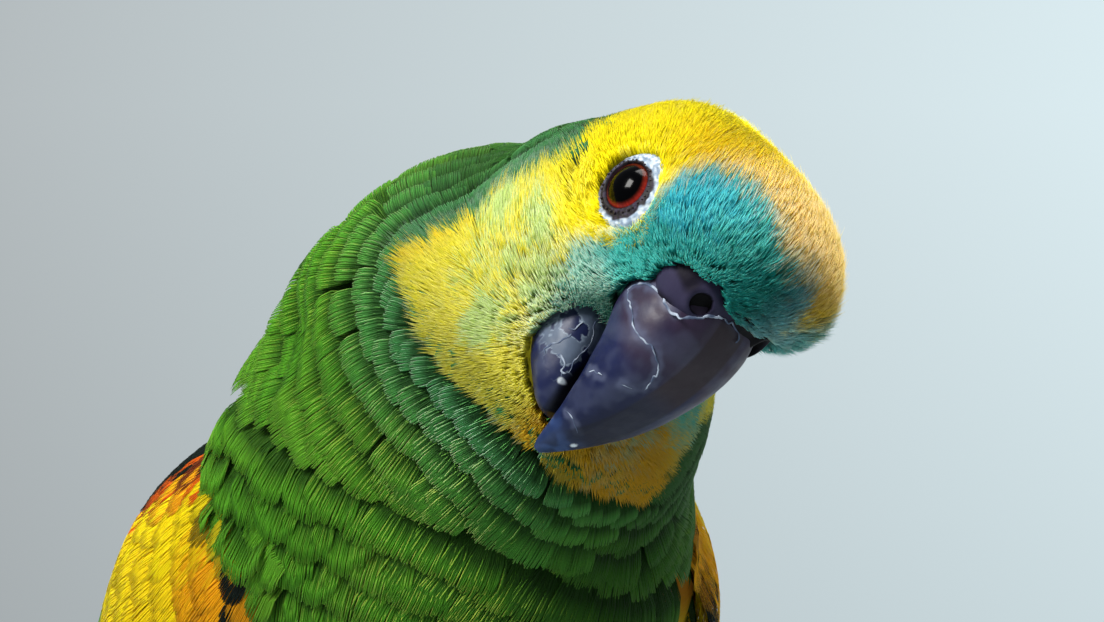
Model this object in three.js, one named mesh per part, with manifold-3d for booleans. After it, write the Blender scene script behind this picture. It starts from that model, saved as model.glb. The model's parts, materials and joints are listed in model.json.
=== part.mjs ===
// An amazon parrot standing with its head cocked and its wings folded, as a still, life-size model.
// Millimetres. +Z is up, the bird faces -Y and its left side is +X. Inside the head's own group the
// same axes hold for the head: +X its left, -Y along the bill, +Z to the crown.
import * as THREE from "three";
import { mergeVertices } from "three/addons/utils/BufferGeometryUtils.js";
import Module from "manifold-3d";

const wasm = await Module();
wasm.setup();

const vec = (x, y, z) => new THREE.Vector3(x, y, z);
const degrees = THREE.MathUtils.degToRad;
const { lerp, clamp, smoothstep } = THREE.MathUtils;

// ---- Driving dimensions -------------------------------------------------------------------------

const GAP = 0.3; // clearance between neighbouring solids

// Body: the trunk leans forward and up, and everything else is placed from its centre.
const TRUNK_CENTRE = vec(0, 24, 104);
const TRUNK_PITCH = degrees(48); // the trunk's axis above the horizontal
const TRUNK_HALF = { long: 76, wide: 38, deep: 39 };
const BREAST_CENTRE = vec(0, -3, 122);
const BREAST_HALF = vec(36, 37, 36);
const NECK_BASE = vec(-1, -6, 139);
const NECK_BASE_HALF = vec(31, 31, 27);
const NECK_ARCH = vec(1, -22, 158.5);
const NECK_ARCH_HALF = vec(29.5, 29, 28);
const THROAT = vec(4.5, -33, 148);
const THROAT_HALF = vec(23, 21, 20);
const FLESH_BLEND = 13; // how softly the body's masses run into one another

// Head: its origin is the point midway between the eyes.
const HEAD_AT = vec(16, -58, 176);
const HEAD_TURN = degrees(-6);
const HEAD_NOD = degrees(42);
const HEAD_TILT = degrees(43.5);

// Eyes, each looking straight out to its side.
const EYE_RADIUS = 6.2;
const EYE_REACH = 16.9; // from the head's middle to the front of the eye
const EYE_AHEAD = 0.9;
const LID_RADIUS = 4.75;
const LID_THICKNESS = 1.05;
const LID_OUT = 15.6; // from the head's middle to the ring of the lids
const EYE_DISH_RADIUS = 7.4;
const EYE_DISH_DEPTH = 2.8;
const EYE_DISH_OUT = 17.6;

// Nostrils, in the cere on either side of the bill's ridge.
const NOSTRIL = { side: 7.6, ahead: 20.8, up: 2.6, radius: 1.6, depth: 3.4 };

// Wings: each lies on a smooth shape that wraps the back, from the bend of the wing to the tail.
const WING_STATIONS = [
  { y: -14, z: 125, wide: 40.5, high: 33 },
  { y: 22, z: 102, wide: 48.5, high: 44 },
  { y: 64, z: 72, wide: 43, high: 33 },
  { y: 104, z: 46, wide: 27, high: 15 },
  { y: 148, z: 24, wide: 19, high: 9 },
];
const ARM_THICKNESS = 15;
const VANE_THICKNESS = 0.6;
const SHAFT_RISE = 0.25; // how far a feather's middle stands above its edges

// Tail.
const TAIL_ROOT = vec(0, 66, 61);
const TAIL_PITCH = degrees(-24.5); // below the horizontal, towards the tips
const TAIL_LENGTH = 128;
const TAIL_HALF_WIDTH = 26;
const TAIL_PAIRS = 6;
const TAIL_STEP = 0.9; // each pair of tail feathers lies this much lower than the pair inside it

// Legs and feet.
const HIP = vec(18, 22, 70);
const ANKLE = vec(22, 28, 33);
const FOOT = vec(23, 11, 5.5);
const THIGH_RADII = [15.5, 7.4];
const SHANK_RADIUS = 4.3;
const PAD_RADIUS = 6.8;
// Two toes point forward and two back. Angles are from straight ahead, outwards.
const TOES = [
  { name: "inner_front", angle: -27, length: 25, radius: 3.2 },
  { name: "outer_front", angle: 14, length: 34, radius: 3.5 },
  { name: "outer_back", angle: 152, length: 31, radius: 3.4 },
  { name: "inner_back", angle: -152, length: 18, radius: 3.1 },
];
const CLAW_LENGTH = 11;

// ---- Solids from meshes -------------------------------------------------------------------------

// A closed geometry as a solid that can be joined and cut.
function solid(geometry) {
  const bare = new THREE.BufferGeometry().setAttribute("position", geometry.getAttribute("position"));
  if (geometry.index) bare.setIndex(geometry.index);
  const merged = mergeVertices(bare, 1e-4);
  const triVerts = new Uint32Array(merged.index.array);
  const vertProperties = new Float32Array(merged.attributes.position.array);
  const made = new wasm.Manifold(new wasm.Mesh({ numProp: 3, vertProperties, triVerts }));
  if (made.volume() > 0) return made;
  for (let i = 0; i < triVerts.length; i += 3)
    [triVerts[i + 1], triVerts[i + 2]] = [triVerts[i + 2], triVerts[i + 1]];
  return new wasm.Manifold(new wasm.Mesh({ numProp: 3, vertProperties, triVerts }));
}

// The largest closed piece of a solid, which drops loose scraps that a cut leaves.
function largest(shape) {
  const pieces = shape.decompose();
  return pieces.reduce((best, piece) => (piece.volume() > best.volume() ? piece : best));
}

const union = (shapes) => shapes.reduce((joined, shape) => joined.add(shape));

// A finished mesh for one node.
function node(name, shape, colour, roughness) {
  const mesh = largest(shape).getMesh();
  const stride = mesh.numProp;
  const positions = new Float32Array(mesh.numVert * 3);
  for (let i = 0; i < mesh.numVert; i++)
    positions.set(mesh.vertProperties.subarray(i * stride, i * stride + 3), i * 3);
  const geometry = new THREE.BufferGeometry()
    .setAttribute("position", new THREE.BufferAttribute(positions, 3))
    .setIndex(new THREE.BufferAttribute(new Uint32Array(mesh.triVerts), 1));
  geometry.computeVertexNormals();
  const material = new THREE.MeshStandardMaterial({ color: colour, roughness, metalness: 0 });
  const made = new THREE.Mesh(geometry, material);
  made.name = name;
  return made;
}

// A large block whose face passes through a point, with the rest of it on the side of the normal.
function halfSpace(point, normal, size = 400) {
  const box = new THREE.BoxGeometry(size, size, size);
  box.translate(0, 0, size / 2);
  box.applyQuaternion(new THREE.Quaternion().setFromUnitVectors(vec(0, 0, 1), normal.clone().normalize()));
  box.translate(point.x, point.y, point.z);
  return solid(box);
}

// A closed skin over rings that all have the same number of points, with a point at each end.
function loft(rings) {
  const count = rings[0].length;
  const positions = rings.flat().flatMap((p) => [p.x, p.y, p.z]);
  const faces = [];
  const at = (ring, i) => ring * count + (i % count);
  for (let r = 0; r + 1 < rings.length; r++)
    for (let i = 0; i < count; i++)
      faces.push(at(r, i), at(r, i + 1), at(r + 1, i + 1), at(r, i), at(r + 1, i + 1), at(r + 1, i));
  for (const [ring, turned] of [[0, true], [rings.length - 1, false]]) {
    const middle = rings[ring].reduce((sum, p) => sum.add(p), vec(0, 0, 0)).divideScalar(count);
    const centre = positions.length / 3;
    positions.push(middle.x, middle.y, middle.z);
    for (let i = 0; i < count; i++)
      faces.push(centre, ...(turned ? [at(ring, i + 1), at(ring, i)] : [at(ring, i), at(ring, i + 1)]));
  }
  return new THREE.BufferGeometry()
    .setAttribute("position", new THREE.Float32BufferAttribute(positions, 3))
    .setIndex(faces);
}

// A closed plate from two grids of points, upper and lower, split into triangles alike.
function plate(upper, lower) {
  const rows = upper.length;
  const columns = upper[0].length;
  const positions = [...upper.flat(), ...lower.flat()].flatMap((p) => [p.x, p.y, p.z]);
  const faces = [];
  const top = (r, c) => r * columns + c;
  const under = (r, c) => rows * columns + top(r, c);
  for (let r = 0; r + 1 < rows; r++)
    for (let c = 0; c + 1 < columns; c++) {
      faces.push(top(r, c), top(r, c + 1), top(r + 1, c + 1), top(r, c), top(r + 1, c + 1), top(r + 1, c));
      faces.push(under(r, c), under(r + 1, c + 1), under(r, c + 1));
      faces.push(under(r, c), under(r + 1, c), under(r + 1, c + 1));
    }
  const rim = [];
  for (let c = 0; c < columns; c++) rim.push([0, c]);
  for (let r = 1; r < rows; r++) rim.push([r, columns - 1]);
  for (let c = columns - 2; c >= 0; c--) rim.push([rows - 1, c]);
  for (let r = rows - 2; r > 0; r--) rim.push([r, 0]);
  rim.forEach((here, i) => {
    const next = rim[(i + 1) % rim.length];
    faces.push(top(...here), under(...here), under(...next), top(...here), under(...next), top(...next));
  });
  return new THREE.BufferGeometry()
    .setAttribute("position", new THREE.Float32BufferAttribute(positions, 3))
    .setIndex(faces);
}

// A round or oval bar along a path. Each station is {at, wide, high}; wide is across, high is in the
// plane of the path and "up".
function bar(stations, up, sides = 12) {
  const rings = stations.map(({ at, wide, high = wide }, i) => {
    const before = stations[Math.max(i - 1, 0)].at;
    const after = stations[Math.min(i + 1, stations.length - 1)].at;
    const along = after.clone().sub(before).normalize();
    const across = along.clone().cross(up).normalize();
    const rise = across.clone().cross(along).normalize();
    return Array.from({ length: sides }, (_, k) => {
      const turn = (k / sides) * 2 * Math.PI;
      return at
        .clone()
        .addScaledVector(across, wide * Math.cos(turn))
        .addScaledVector(rise, high * Math.sin(turn));
    });
  });
  return loft(rings);
}

// An oval ball.
function ball(centre, half, around = 14, down = 10) {
  const geometry = new THREE.SphereGeometry(1, around, down);
  geometry.scale(half.x, half.y, half.z);
  geometry.translate(centre.x, centre.y, centre.z);
  return geometry;
}

// ---- The body's outline as one soft field -------------------------------------------------------

const headFrame = new THREE.Matrix4().compose(
  HEAD_AT,
  new THREE.Quaternion().setFromEuler(new THREE.Euler(HEAD_NOD, HEAD_TILT, HEAD_TURN, "ZXY")),
  vec(1, 1, 1),
);
const worldToHead = headFrame.clone().invert();

// Masses of the body, in the body's frame, and of the head, in the head's.
const BODY_MASSES = [
  {
    centre: TRUNK_CENTRE,
    half: vec(TRUNK_HALF.wide, TRUNK_HALF.long, TRUNK_HALF.deep),
    pitch: TRUNK_PITCH,
  },
  { centre: BREAST_CENTRE, half: BREAST_HALF, pitch: 0 },
  { centre: NECK_BASE, half: NECK_BASE_HALF, pitch: 0 },
  { centre: NECK_ARCH, half: NECK_ARCH_HALF, pitch: 0 },
  { centre: THROAT, half: THROAT_HALF, pitch: 0 },
];
const HEAD_MASSES = [
  { centre: vec(0, 1.5, 0), half: vec(16, 19.5, 16.5), blend: 5 }, // skull
  { centre: vec(0, -10.5, 9), half: vec(17.5, 13, 12), blend: 8 }, // forehead
  { centre: vec(10.5, 3, -13), half: vec(9.5, 12.5, 13), blend: 6 }, // left cheek
  { centre: vec(-10.5, 3, -13), half: vec(9.5, 12.5, 13), blend: 6 }, // right cheek
  { centre: vec(0, 5, -21), half: vec(12, 14.5, 9.5), blend: 6 }, // chin
  { centre: vec(0, 12, -12), half: vec(17, 11.5, 13.5), blend: 6 }, // nape
];

function ellipsoidField(p, half) {
  const near = Math.hypot(p.x / half.x, p.y / half.y, p.z / half.z);
  const slope = Math.hypot(p.x / half.x ** 2, p.y / half.y ** 2, p.z / half.z ** 2);
  return slope < 1e-9 ? -Math.min(half.x, half.y, half.z) : (near * (near - 1)) / slope;
}

// The lower of two values, with the corner between them rounded over a width.
function softMin(a, b, width) {
  const h = Math.max(width - Math.abs(a - b), 0) / width;
  return Math.min(a, b) - (h * h * width) / 4;
}

// Distance outwards from the bird's feathered outline, negative inside.
function bodyField(p) {
  let body = Infinity;
  for (const { centre, half, pitch } of BODY_MASSES) {
    const local = p.clone().sub(centre).applyAxisAngle(vec(1, 0, 0), pitch);
    body = softMin(body, ellipsoidField(local, half), FLESH_BLEND);
  }
  const inHead = p.clone().applyMatrix4(worldToHead);
  let head = Infinity;
  for (const { centre, half, blend } of HEAD_MASSES)
    head = softMin(head, ellipsoidField(inHead.clone().sub(centre), half), blend);
  return softMin(body, head, FLESH_BLEND);
}

// The first point of the outline, grown outwards, that a ray from inside the body meets.
function outlinePoint(from, direction, grow, farthest) {
  const at = (t) => from.clone().addScaledVector(direction, t);
  let inside = 0;
  let step = 0.5;
  let t = step;
  while (t < farthest && bodyField(at(t)) < grow) {
    inside = t;
    step = clamp(-(bodyField(at(t)) - grow) * 0.6, 0.25, 4);
    t += step;
  }
  if (t >= farthest) return at(farthest);
  let outside = t;
  for (let i = 0; i < 14; i++) {
    const middle = (inside + outside) / 2;
    if (bodyField(at(middle)) < grow) inside = middle;
    else outside = middle;
  }
  return at(inside);
}

// ---- Torso and neck -----------------------------------------------------------------------------

const SPINE = new THREE.CatmullRomCurve3([
  vec(0, 84, 46),
  vec(0, 58, 71),
  TRUNK_CENTRE,
  NECK_BASE,
  vec(9, -28, 160),
  vec(17, -46, 171),
]);
const SPINE_RINGS = 26;
const SPINE_SIDES = 28;

// The trunk and neck as one tube of rings round the spine, each ring reaching out to the outline.
function trunkAndNeck(grow) {
  const rings = [];
  for (let i = 0; i <= SPINE_RINGS; i++) {
    const centre = SPINE.getPointAt(i / SPINE_RINGS);
    const along = SPINE.getTangentAt(i / SPINE_RINGS);
    const across = vec(1, 0, 0).addScaledVector(along, -along.x).normalize();
    const rise = across.clone().cross(along).normalize();
    rings.push(
      Array.from({ length: SPINE_SIDES }, (_, k) => {
        const turn = (k / SPINE_SIDES) * 2 * Math.PI;
        const out = across.clone().multiplyScalar(Math.cos(turn)).addScaledVector(rise, Math.sin(turn));
        return outlinePoint(centre, out, grow, 60);
      }),
    );
  }
  return solid(loft(rings));
}

// Where the neck is parted from the torso, and the head from the neck.
const NECK_CUT = { point: vec(0, -5, 147), normal: vec(0, -0.669, 0.743) };
const HEAD_CUT = { point: vec(0, 0, -31.5), normal: vec(0.1, 0.22, -0.97).normalize() }; // in the head's frame
const headCutPoint = HEAD_CUT.point.clone().applyMatrix4(headFrame);
const headCutNormal = HEAD_CUT.normal.clone().transformDirection(headFrame);

const trunkTube = trunkAndNeck(0);
const trunkTubeGrown = trunkAndNeck(GAP);
const half = GAP / 2;
const torsoShape = trunkTube.subtract(
  halfSpace(NECK_CUT.point.clone().addScaledVector(NECK_CUT.normal, -half), NECK_CUT.normal),
);
const neckShape = trunkTube
  .subtract(
    halfSpace(
      NECK_CUT.point.clone().addScaledVector(NECK_CUT.normal, half),
      NECK_CUT.normal.clone().negate(),
    ),
  )
  .subtract(
    halfSpace(headCutPoint.clone().addScaledVector(headCutNormal, half), headCutNormal.clone().negate()),
  );

// ---- Head, in its own frame ---------------------------------------------------------------------

const HEAD_RINGS = 20;
const HEAD_SIDES = 28;
const HEAD_MIDDLE = vec(0, 2, -5);
const HEAD_OVERRUN = 12; // how far the outline runs past the cut before the cut takes it off

// The head's outline as rings round the line of the bill, from the face to the nape.
function headOutline() {
  const rings = [];
  const centre = HEAD_MIDDLE.clone().applyMatrix4(headFrame);
  for (let i = 0; i <= HEAD_RINGS; i++) {
    const fall = lerp(0.06, Math.PI - 0.06, i / HEAD_RINGS);
    rings.push(
      Array.from({ length: HEAD_SIDES }, (_, k) => {
        const turn = (k / HEAD_SIDES) * 2 * Math.PI;
        const out = vec(Math.sin(fall) * Math.cos(turn), -Math.cos(fall), Math.sin(fall) * Math.sin(turn));
        const toCut = HEAD_CUT.normal.dot(HEAD_CUT.point.clone().sub(HEAD_MIDDLE)) + HEAD_OVERRUN;
        const facing = HEAD_CUT.normal.dot(out);
        const farthest = facing > 0.01 ? Math.min(toCut / facing, 60) : 60;
        out.transformDirection(headFrame);
        return outlinePoint(centre, out, 0, farthest).applyMatrix4(worldToHead);
      }),
    );
  }
  return solid(loft(rings));
}

// A mandible as rings between an upper and a lower edge line, in the head's middle plane.
// Each station is {top: [ahead, up], bottom: [ahead, up], half}. Square sides are below 1.
function mandible(stations, topSquare, bottomSquare, grow) {
  const sides = 18;
  const rings = stations.map(({ top, bottom, half: wide }) => {
    const upper = vec(0, -top[0], top[1]);
    const lower = vec(0, -bottom[0], bottom[1]);
    const middle = upper.clone().add(lower).multiplyScalar(0.5);
    const rise = upper.clone().sub(lower).multiplyScalar(0.5);
    rise.setLength(rise.length() + grow);
    return Array.from({ length: sides }, (_, k) => {
      const turn = (k / sides) * 2 * Math.PI;
      const square = Math.cos(turn) > 0 ? topSquare : bottomSquare;
      const side = Math.sign(Math.sin(turn)) * Math.abs(Math.sin(turn)) ** square;
      const lift = Math.sign(Math.cos(turn)) * Math.abs(Math.cos(turn)) ** 0.9;
      return middle.clone().addScaledVector(rise, lift).add(vec(side * (wide + grow), 0, 0));
    });
  });
  if (grow > 0) {
    // The grown copy is longer at both ends as well.
    for (const [ring, inner] of [[0, 1], [rings.length - 1, rings.length - 2]]) {
      const outwards = rings[ring][0].clone().sub(rings[inner][0]).setLength(grow);
      rings[ring].forEach((p) => p.add(outwards));
    }
  }
  return solid(loft(rings));
}

const UPPER_BILL = [
  { top: [12.5, 7], bottom: [8, -8.6], half: 7.4 },
  { top: [17, 6.6], bottom: [10, -9.8], half: 9.6 },
  { top: [21.4, 4.6], bottom: [12.6, -12.4], half: 10.2 },
  { top: [24, 1.6], bottom: [15.2, -15], half: 9.9 },
  { top: [25.9, -2.6], bottom: [17.2, -17.8], half: 9.2 },
  { top: [27, -7.6], bottom: [18.6, -20.6], half: 8.2 },
  { top: [27.3, -13], bottom: [19.7, -23.4], half: 7.0 },
  { top: [26.9, -18.4], bottom: [20.4, -26], half: 5.6 },
  { top: [25.9, -23.4], bottom: [20.7, -28.4], half: 4.2 },
  { top: [24.6, -27.8], bottom: [20.8, -30.4], half: 2.9 },
  { top: [23.2, -31.2], bottom: [21.1, -32.2], half: 1.7 },
  { top: [22.2, -33.3], bottom: [21.5, -33.4], half: 0.6 },
];
const LOWER_BILL = [
  { top: [3, -12.6], bottom: [3, -26.5], half: 8.4 },
  { top: [7.5, -13.4], bottom: [7.5, -27.8], half: 9.0 },
  { top: [11, -14.8], bottom: [11, -28.6], half: 9.0 },
  { top: [14, -17], bottom: [14.5, -29.3], half: 8.6 },
  { top: [17, -20], bottom: [17.8, -29.6], half: 7.6 },
  { top: [19.2, -23.2], bottom: [20, -29], half: 5.8 },
  { top: [20.4, -25.6], bottom: [20.8, -27.8], half: 3.6 },
];
const upperBill = (grow) => mandible(UPPER_BILL, 0.85, 0.4, grow);
const lowerBill = (grow) => mandible(LOWER_BILL, 0.35, 0.75, grow);

// The cere: the bare swollen skin over the bill's root, with a mound round each nostril.
function cereBlank(grow) {
  const grown = (x, y, z) => vec(x + grow, y + grow, z + grow);
  return union([
    solid(ball(vec(6.2, -17, 1.9), grown(6.3, 6.0, 6.6), 10, 7)),
    solid(ball(vec(-6.2, -17, 1.9), grown(6.3, 6.0, 6.6), 10, 7)),
    solid(ball(vec(0, -18.2, 4.2), grown(5.5, 4.4, 4.2), 10, 6)),
  ]);
}

function nostril(side) {
  const bore = new THREE.CylinderGeometry(NOSTRIL.radius, NOSTRIL.radius * 0.8, NOSTRIL.depth * 2, 12);
  const outwards = vec(side * 0.55, -0.75, 0.36).normalize();
  bore.applyQuaternion(new THREE.Quaternion().setFromUnitVectors(vec(0, 1, 0), outwards));
  bore.translate(side * NOSTRIL.side, -NOSTRIL.ahead, NOSTRIL.up);
  return solid(bore);
}

const eyeCentre = (side) => vec(side * (EYE_REACH - EYE_RADIUS), -EYE_AHEAD, 0.2);

// The ring of the lids, standing proud of a shallow dish of bare skin.
function lids(side) {
  const ring = new THREE.TorusGeometry(LID_RADIUS, LID_THICKNESS, 5, 18);
  ring.rotateY(Math.PI / 2);
  ring.translate(side * LID_OUT, -EYE_AHEAD, 0.2);
  return solid(ring);
}

const cereShape = [1, -1]
  .reduce((shape, side) => shape.subtract(nostril(side)), cereBlank(0))
  .subtract(upperBill(GAP))
  .subtract(lowerBill(GAP));

const lowerBillShape = lowerBill(0).subtract(upperBill(0.5));

let headShape = headOutline().subtract(
  halfSpace(HEAD_CUT.point.clone().addScaledVector(HEAD_CUT.normal, -half), HEAD_CUT.normal),
);
for (const side of [1, -1]) {
  const dish = ball(
    vec(side * EYE_DISH_OUT, -EYE_AHEAD, 0.2),
    vec(EYE_DISH_DEPTH, EYE_DISH_RADIUS, EYE_DISH_RADIUS),
    14,
    9,
  );
  headShape = headShape
    .subtract(solid(dish))
    .add(lids(side))
    .subtract(solid(ball(eyeCentre(side), vec(1, 1, 1).multiplyScalar(EYE_RADIUS + GAP))));
}
headShape = headShape.subtract(upperBill(GAP)).subtract(lowerBill(GAP)).subtract(cereBlank(GAP));

// ---- Wings --------------------------------------------------------------------------------------

const wingCurve = new THREE.CatmullRomCurve3(WING_STATIONS.map(({ y, z }) => vec(0, y, z)));

// A named size of the wing's smooth shape at a share of its length.
function wingSize(name, share) {
  const place = clamp(share, 0, 1) * (WING_STATIONS.length - 1);
  const low = Math.min(Math.floor(place), WING_STATIONS.length - 2);
  const t = smoothstep(place - low, 0, 1) * 0.5 + (place - low) * 0.5;
  return lerp(WING_STATIONS[low][name], WING_STATIONS[low + 1][name], t);
}

// A point over the back: share runs from the bend of the wing to the tail, angle from the middle of
// the back out to one side, and lift is height above the smooth shape.
function wingPoint(share, angle, lift, side) {
  const centre = wingCurve.getPoint(clamp(share, 0, 1));
  const along = wingCurve.getTangent(clamp(share, 0, 1));
  const up = vec(0, -along.z, along.y);
  const wide = wingSize("wide", share) + lift;
  const high = wingSize("high", share) + lift;
  return centre
    .addScaledVector(vec(side, 0, 0), wide * Math.sin(angle))
    .addScaledVector(up, high * Math.cos(angle));
}

// ---- Feathers -----------------------------------------------------------------------------------

// One feather's vane as a closed plate. `surface(t, x, up)` gives the point at a share t of its length,
// x mm across and up mm above what it lies on. The vane is widest at its middle, rounded at its tip,
// raised along its shaft, and thin, and its edges lie `tilt` mm above and below its middle line.
function vane(surface, { width, tip, thickness, tilt, rootLift, tipLift, stations }) {
  const sheet = (depth) =>
    stations.map((t) => {
      const rounding = Math.sqrt(Math.max(1 - clamp((t - tip) / (1.02 - tip), 0, 1) ** 2, 0));
      const halfWidth = (width / 2) * lerp(0.62, 1, smoothstep(t, 0, 0.55)) * rounding;
      const lift = lerp(rootLift, tipLift, smoothstep(t, 0, 0.9));
      const thin = lerp(1, 0.55, smoothstep(t, 0.6, 1));
      return [-1, 0, 1].map((edge) => {
        const shaft = edge === 0 ? SHAFT_RISE : 0;
        return surface(t, edge * halfWidth, lift + shaft + edge * tilt - depth * thin);
      });
    });
  return solid(plate(sheet(0), sheet(thickness)));
}

const SHORT_VANE = [0, 0.45, 0.8, 1];
const LONG_VANE = [0, 0.4, 0.75, 0.93, 1];

// ---- Wings --------------------------------------------------------------------------------------

// The tiers of the folded wing. Every pair of numbers runs from the feather nearest the back to the one
// lowest on the flank. Shares are of the wing's length, and angles, in degrees, are from the back's
// middle out to the side.
const WING_TIERS = [
  { // primaries
    count: 6, rootShare: [0.42, 0.34], rootAngle: [60, 98], tipShare: [0.78, 0.99], tipAngle: [22, 27],
    width: 13, rootLift: -3, tipLift: -0.6, tilt: 1.3, fall: 1, stations: LONG_VANE,
  },
  { // secondaries
    count: 6, rootShare: [0.38, 0.3], rootAngle: [33, 88], tipShare: [0.75, 0.6], tipAngle: [17, 64],
    width: 13.5, rootLift: -1.2, tipLift: 1.9, tilt: 1.3, fall: 0.7, stations: LONG_VANE,
  },
  { // greater coverts
    count: 5, rootShare: [0.26, 0.2], rootAngle: [32, 93], tipShare: [0.52, 0.43], tipAngle: [25, 86],
    width: 19, rootLift: -1, tipLift: 3, tilt: 0.95, fall: 0, stations: SHORT_VANE,
  },
  { // median coverts
    count: 5, rootShare: [0.1, 0.08], rootAngle: [44, 93], tipShare: [0.36, 0.3], tipAngle: [32, 91],
    width: 18, rootLift: -1, tipLift: 2.6, tilt: 0.95, fall: 0, stations: SHORT_VANE,
  },
];

function wingTier(tier, side) {
  return Array.from({ length: tier.count }, (_, i) => {
    const order = i / (tier.count - 1);
    const between = ([first, last]) => lerp(first, last, order);
    const wave = 1 + 0.03 * Math.sin(i * 2.4);
    const surface = (t, x, up) => {
      const share = lerp(between(tier.rootShare), between(tier.tipShare) * wave, t);
      const angle = degrees(lerp(between(tier.rootAngle), between(tier.tipAngle), t));
      const arc = Math.hypot(wingSize("wide", share) * Math.cos(angle), wingSize("high", share) * Math.sin(angle));
      return wingPoint(share, angle + x / Math.max(arc, 8), up - tier.fall * i * t, side);
    };
    return vane(surface, { ...tier, tip: 0.6, thickness: VANE_THICKNESS });
  });
}

// The feathered arm under the coverts, from the bend of the wing back to where the long feathers start.
const ARM_UPPER_EDGE = [60, 44, 34, 30];
const ARM_LOWER_EDGE = [93, 101, 103, 98];
const ARM_SHARES = [-0.02, 0.02, 0.08, 0.16, 0.26, 0.36, 0.46];
const ARM_COLUMNS = 6;
const ARM_EDGE_DROP = 3.5; // how far the arm's upper and lower edges sink towards the body

function along(list, share) {
  const place = clamp(share, 0, 1) * (list.length - 1);
  const low = Math.min(Math.floor(place), list.length - 2);
  return lerp(list[low], list[low + 1], place - low);
}

function wingArm(side) {
  const surface = (depth) =>
    ARM_SHARES.map((share, r) => {
      const length = r / (ARM_SHARES.length - 1);
      const round = [0.35, 0.78, 1][r] ?? 1;
      return Array.from({ length: ARM_COLUMNS + 1 }, (_, c) => {
        const across = (c / ARM_COLUMNS - 0.5) * round + 0.5;
        const angle = degrees(lerp(along(ARM_UPPER_EDGE, length), along(ARM_LOWER_EDGE, length), across));
        const edge = Math.abs(across * 2 - 1) ** 3;
        const sunk = [3.5, 1][r] ?? 0;
        const thin = lerp(1, 0.35, smoothstep(length, 0.6, 1));
        const lift = depth > 0 ? -depth * thin : -sunk - ARM_EDGE_DROP * edge;
        return wingPoint(share, angle, lift, side);
      });
    });
  return solid(plate(surface(0), surface(ARM_THICKNESS)));
}

const wingShape = (side) =>
  union([wingArm(side), ...WING_TIERS.flatMap((tier) => wingTier(tier, side))]).subtract(trunkTubeGrown);

// ---- Tail ---------------------------------------------------------------------------------------

const tailAlong = vec(0, Math.cos(TAIL_PITCH), Math.sin(TAIL_PITCH));
const tailUp = vec(0, -Math.sin(TAIL_PITCH), Math.cos(TAIL_PITCH));
const tailPoint = (out, across, up) =>
  TAIL_ROOT.clone().addScaledVector(tailAlong, out).addScaledVector(tailUp, up).add(vec(across, 0, 0));

// The soft feathers over and under the tail's root, as one tapering form.
function tailRoot() {
  const stations = [
    { out: -14, wide: 20, high: 17 },
    { out: 8, wide: 23, high: 15.5 },
    { out: 28, wide: 22, high: 11.5 },
    { out: 48, wide: 18.5, high: 7 },
    { out: 66, wide: 13, high: 3 },
  ];
  return solid(
    bar(
      stations.map(({ out, wide, high }) => ({ at: tailPoint(out, 0, -high * 0.25), wide, high })),
      tailUp,
      16,
    ),
  );
}

// Six feathers on each side, the middle pair longest and on top.
function tailFeathers() {
  const feathers = [];
  for (let pair = TAIL_PAIRS - 1; pair >= 0; pair--)
    for (const side of [-1, 1]) {
      const spread = pair / (TAIL_PAIRS - 1);
      const reach = TAIL_LENGTH - 15 * spread ** 2;
      const above = -TAIL_STEP * (pair + (side > 0 ? 0.5 : 0));
      const surface = (t, x, up) => {
        const across = side * lerp(2 + 9 * spread, 4.5 + (TAIL_HALF_WIDTH - 14.5) * spread, t) + x;
        return tailPoint(lerp(6, reach, t), across, above + up - 0.003 * across ** 2);
      };
      const shape = { width: 19, tip: 0.84, thickness: VANE_THICKNESS, tilt: side * 0.15 };
      feathers.push(vane(surface, { ...shape, rootLift: 0, tipLift: 1, stations: LONG_VANE }));
    }
  return feathers;
}

const tailShape = union([tailRoot(), ...tailFeathers()]).subtract(trunkTubeGrown);

// ---- Legs ---------------------------------------------------------------------------------------

const mirrored = (point, side) => vec(point.x * side, point.y, point.z);
const floor = halfSpace(vec(0, 0, 0), vec(0, 0, -1));

function thigh(side, grow) {
  const [top, low] = THIGH_RADII;
  const stations = [
    { share: -0.42, radius: top * 0.3 },
    { share: -0.34, radius: top * 0.66 },
    { share: -0.12, radius: top * 0.96 },
    { share: 0.18, radius: top },
    { share: 0.5, radius: lerp(top, low, 0.42) },
    { share: 0.85, radius: low * 1.18 },
    { share: 1.02, radius: low * 0.92 },
    { share: 1.1, radius: low * 0.6 },
  ];
  return solid(
    bar(
      stations.map(({ share, radius }) => ({
        at: mirrored(HIP.clone().lerp(ANKLE, share), side),
        wide: radius + grow,
      })),
      vec(0, -1, 0),
      14,
    ),
  );
}

function shank(side, grow) {
  const line = (share, radius) => ({
    at: mirrored(ANKLE.clone().lerp(FOOT, share), side),
    wide: radius + grow,
  });
  const shaft = bar(
    [
      line(-0.12, SHANK_RADIUS * 0.7),
      line(0, SHANK_RADIUS * 1.15),
      line(0.25, SHANK_RADIUS * 0.95),
      line(0.6, SHANK_RADIUS * 0.95),
      line(0.85, SHANK_RADIUS * 1.12),
      line(1, SHANK_RADIUS * 1.2),
    ],
    vec(0, -1, 0),
    10,
  );
  const pad = ball(
    mirrored(FOOT, side).add(vec(0, 0, -0.2)),
    vec(PAD_RADIUS + grow, PAD_RADIUS * 1.05 + grow, 5.7 + grow),
    10,
    6,
  );
  return solid(shaft).add(solid(pad));
}

// The line of a toe along the floor, as a distance out from the foot's middle and a height.
function toePoint(toe, side, out, height) {
  const turn = degrees(toe.angle);
  return mirrored(FOOT, side)
    .setZ(height)
    .add(vec(side * Math.sin(turn) * out, -Math.cos(turn) * out, 0));
}

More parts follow.
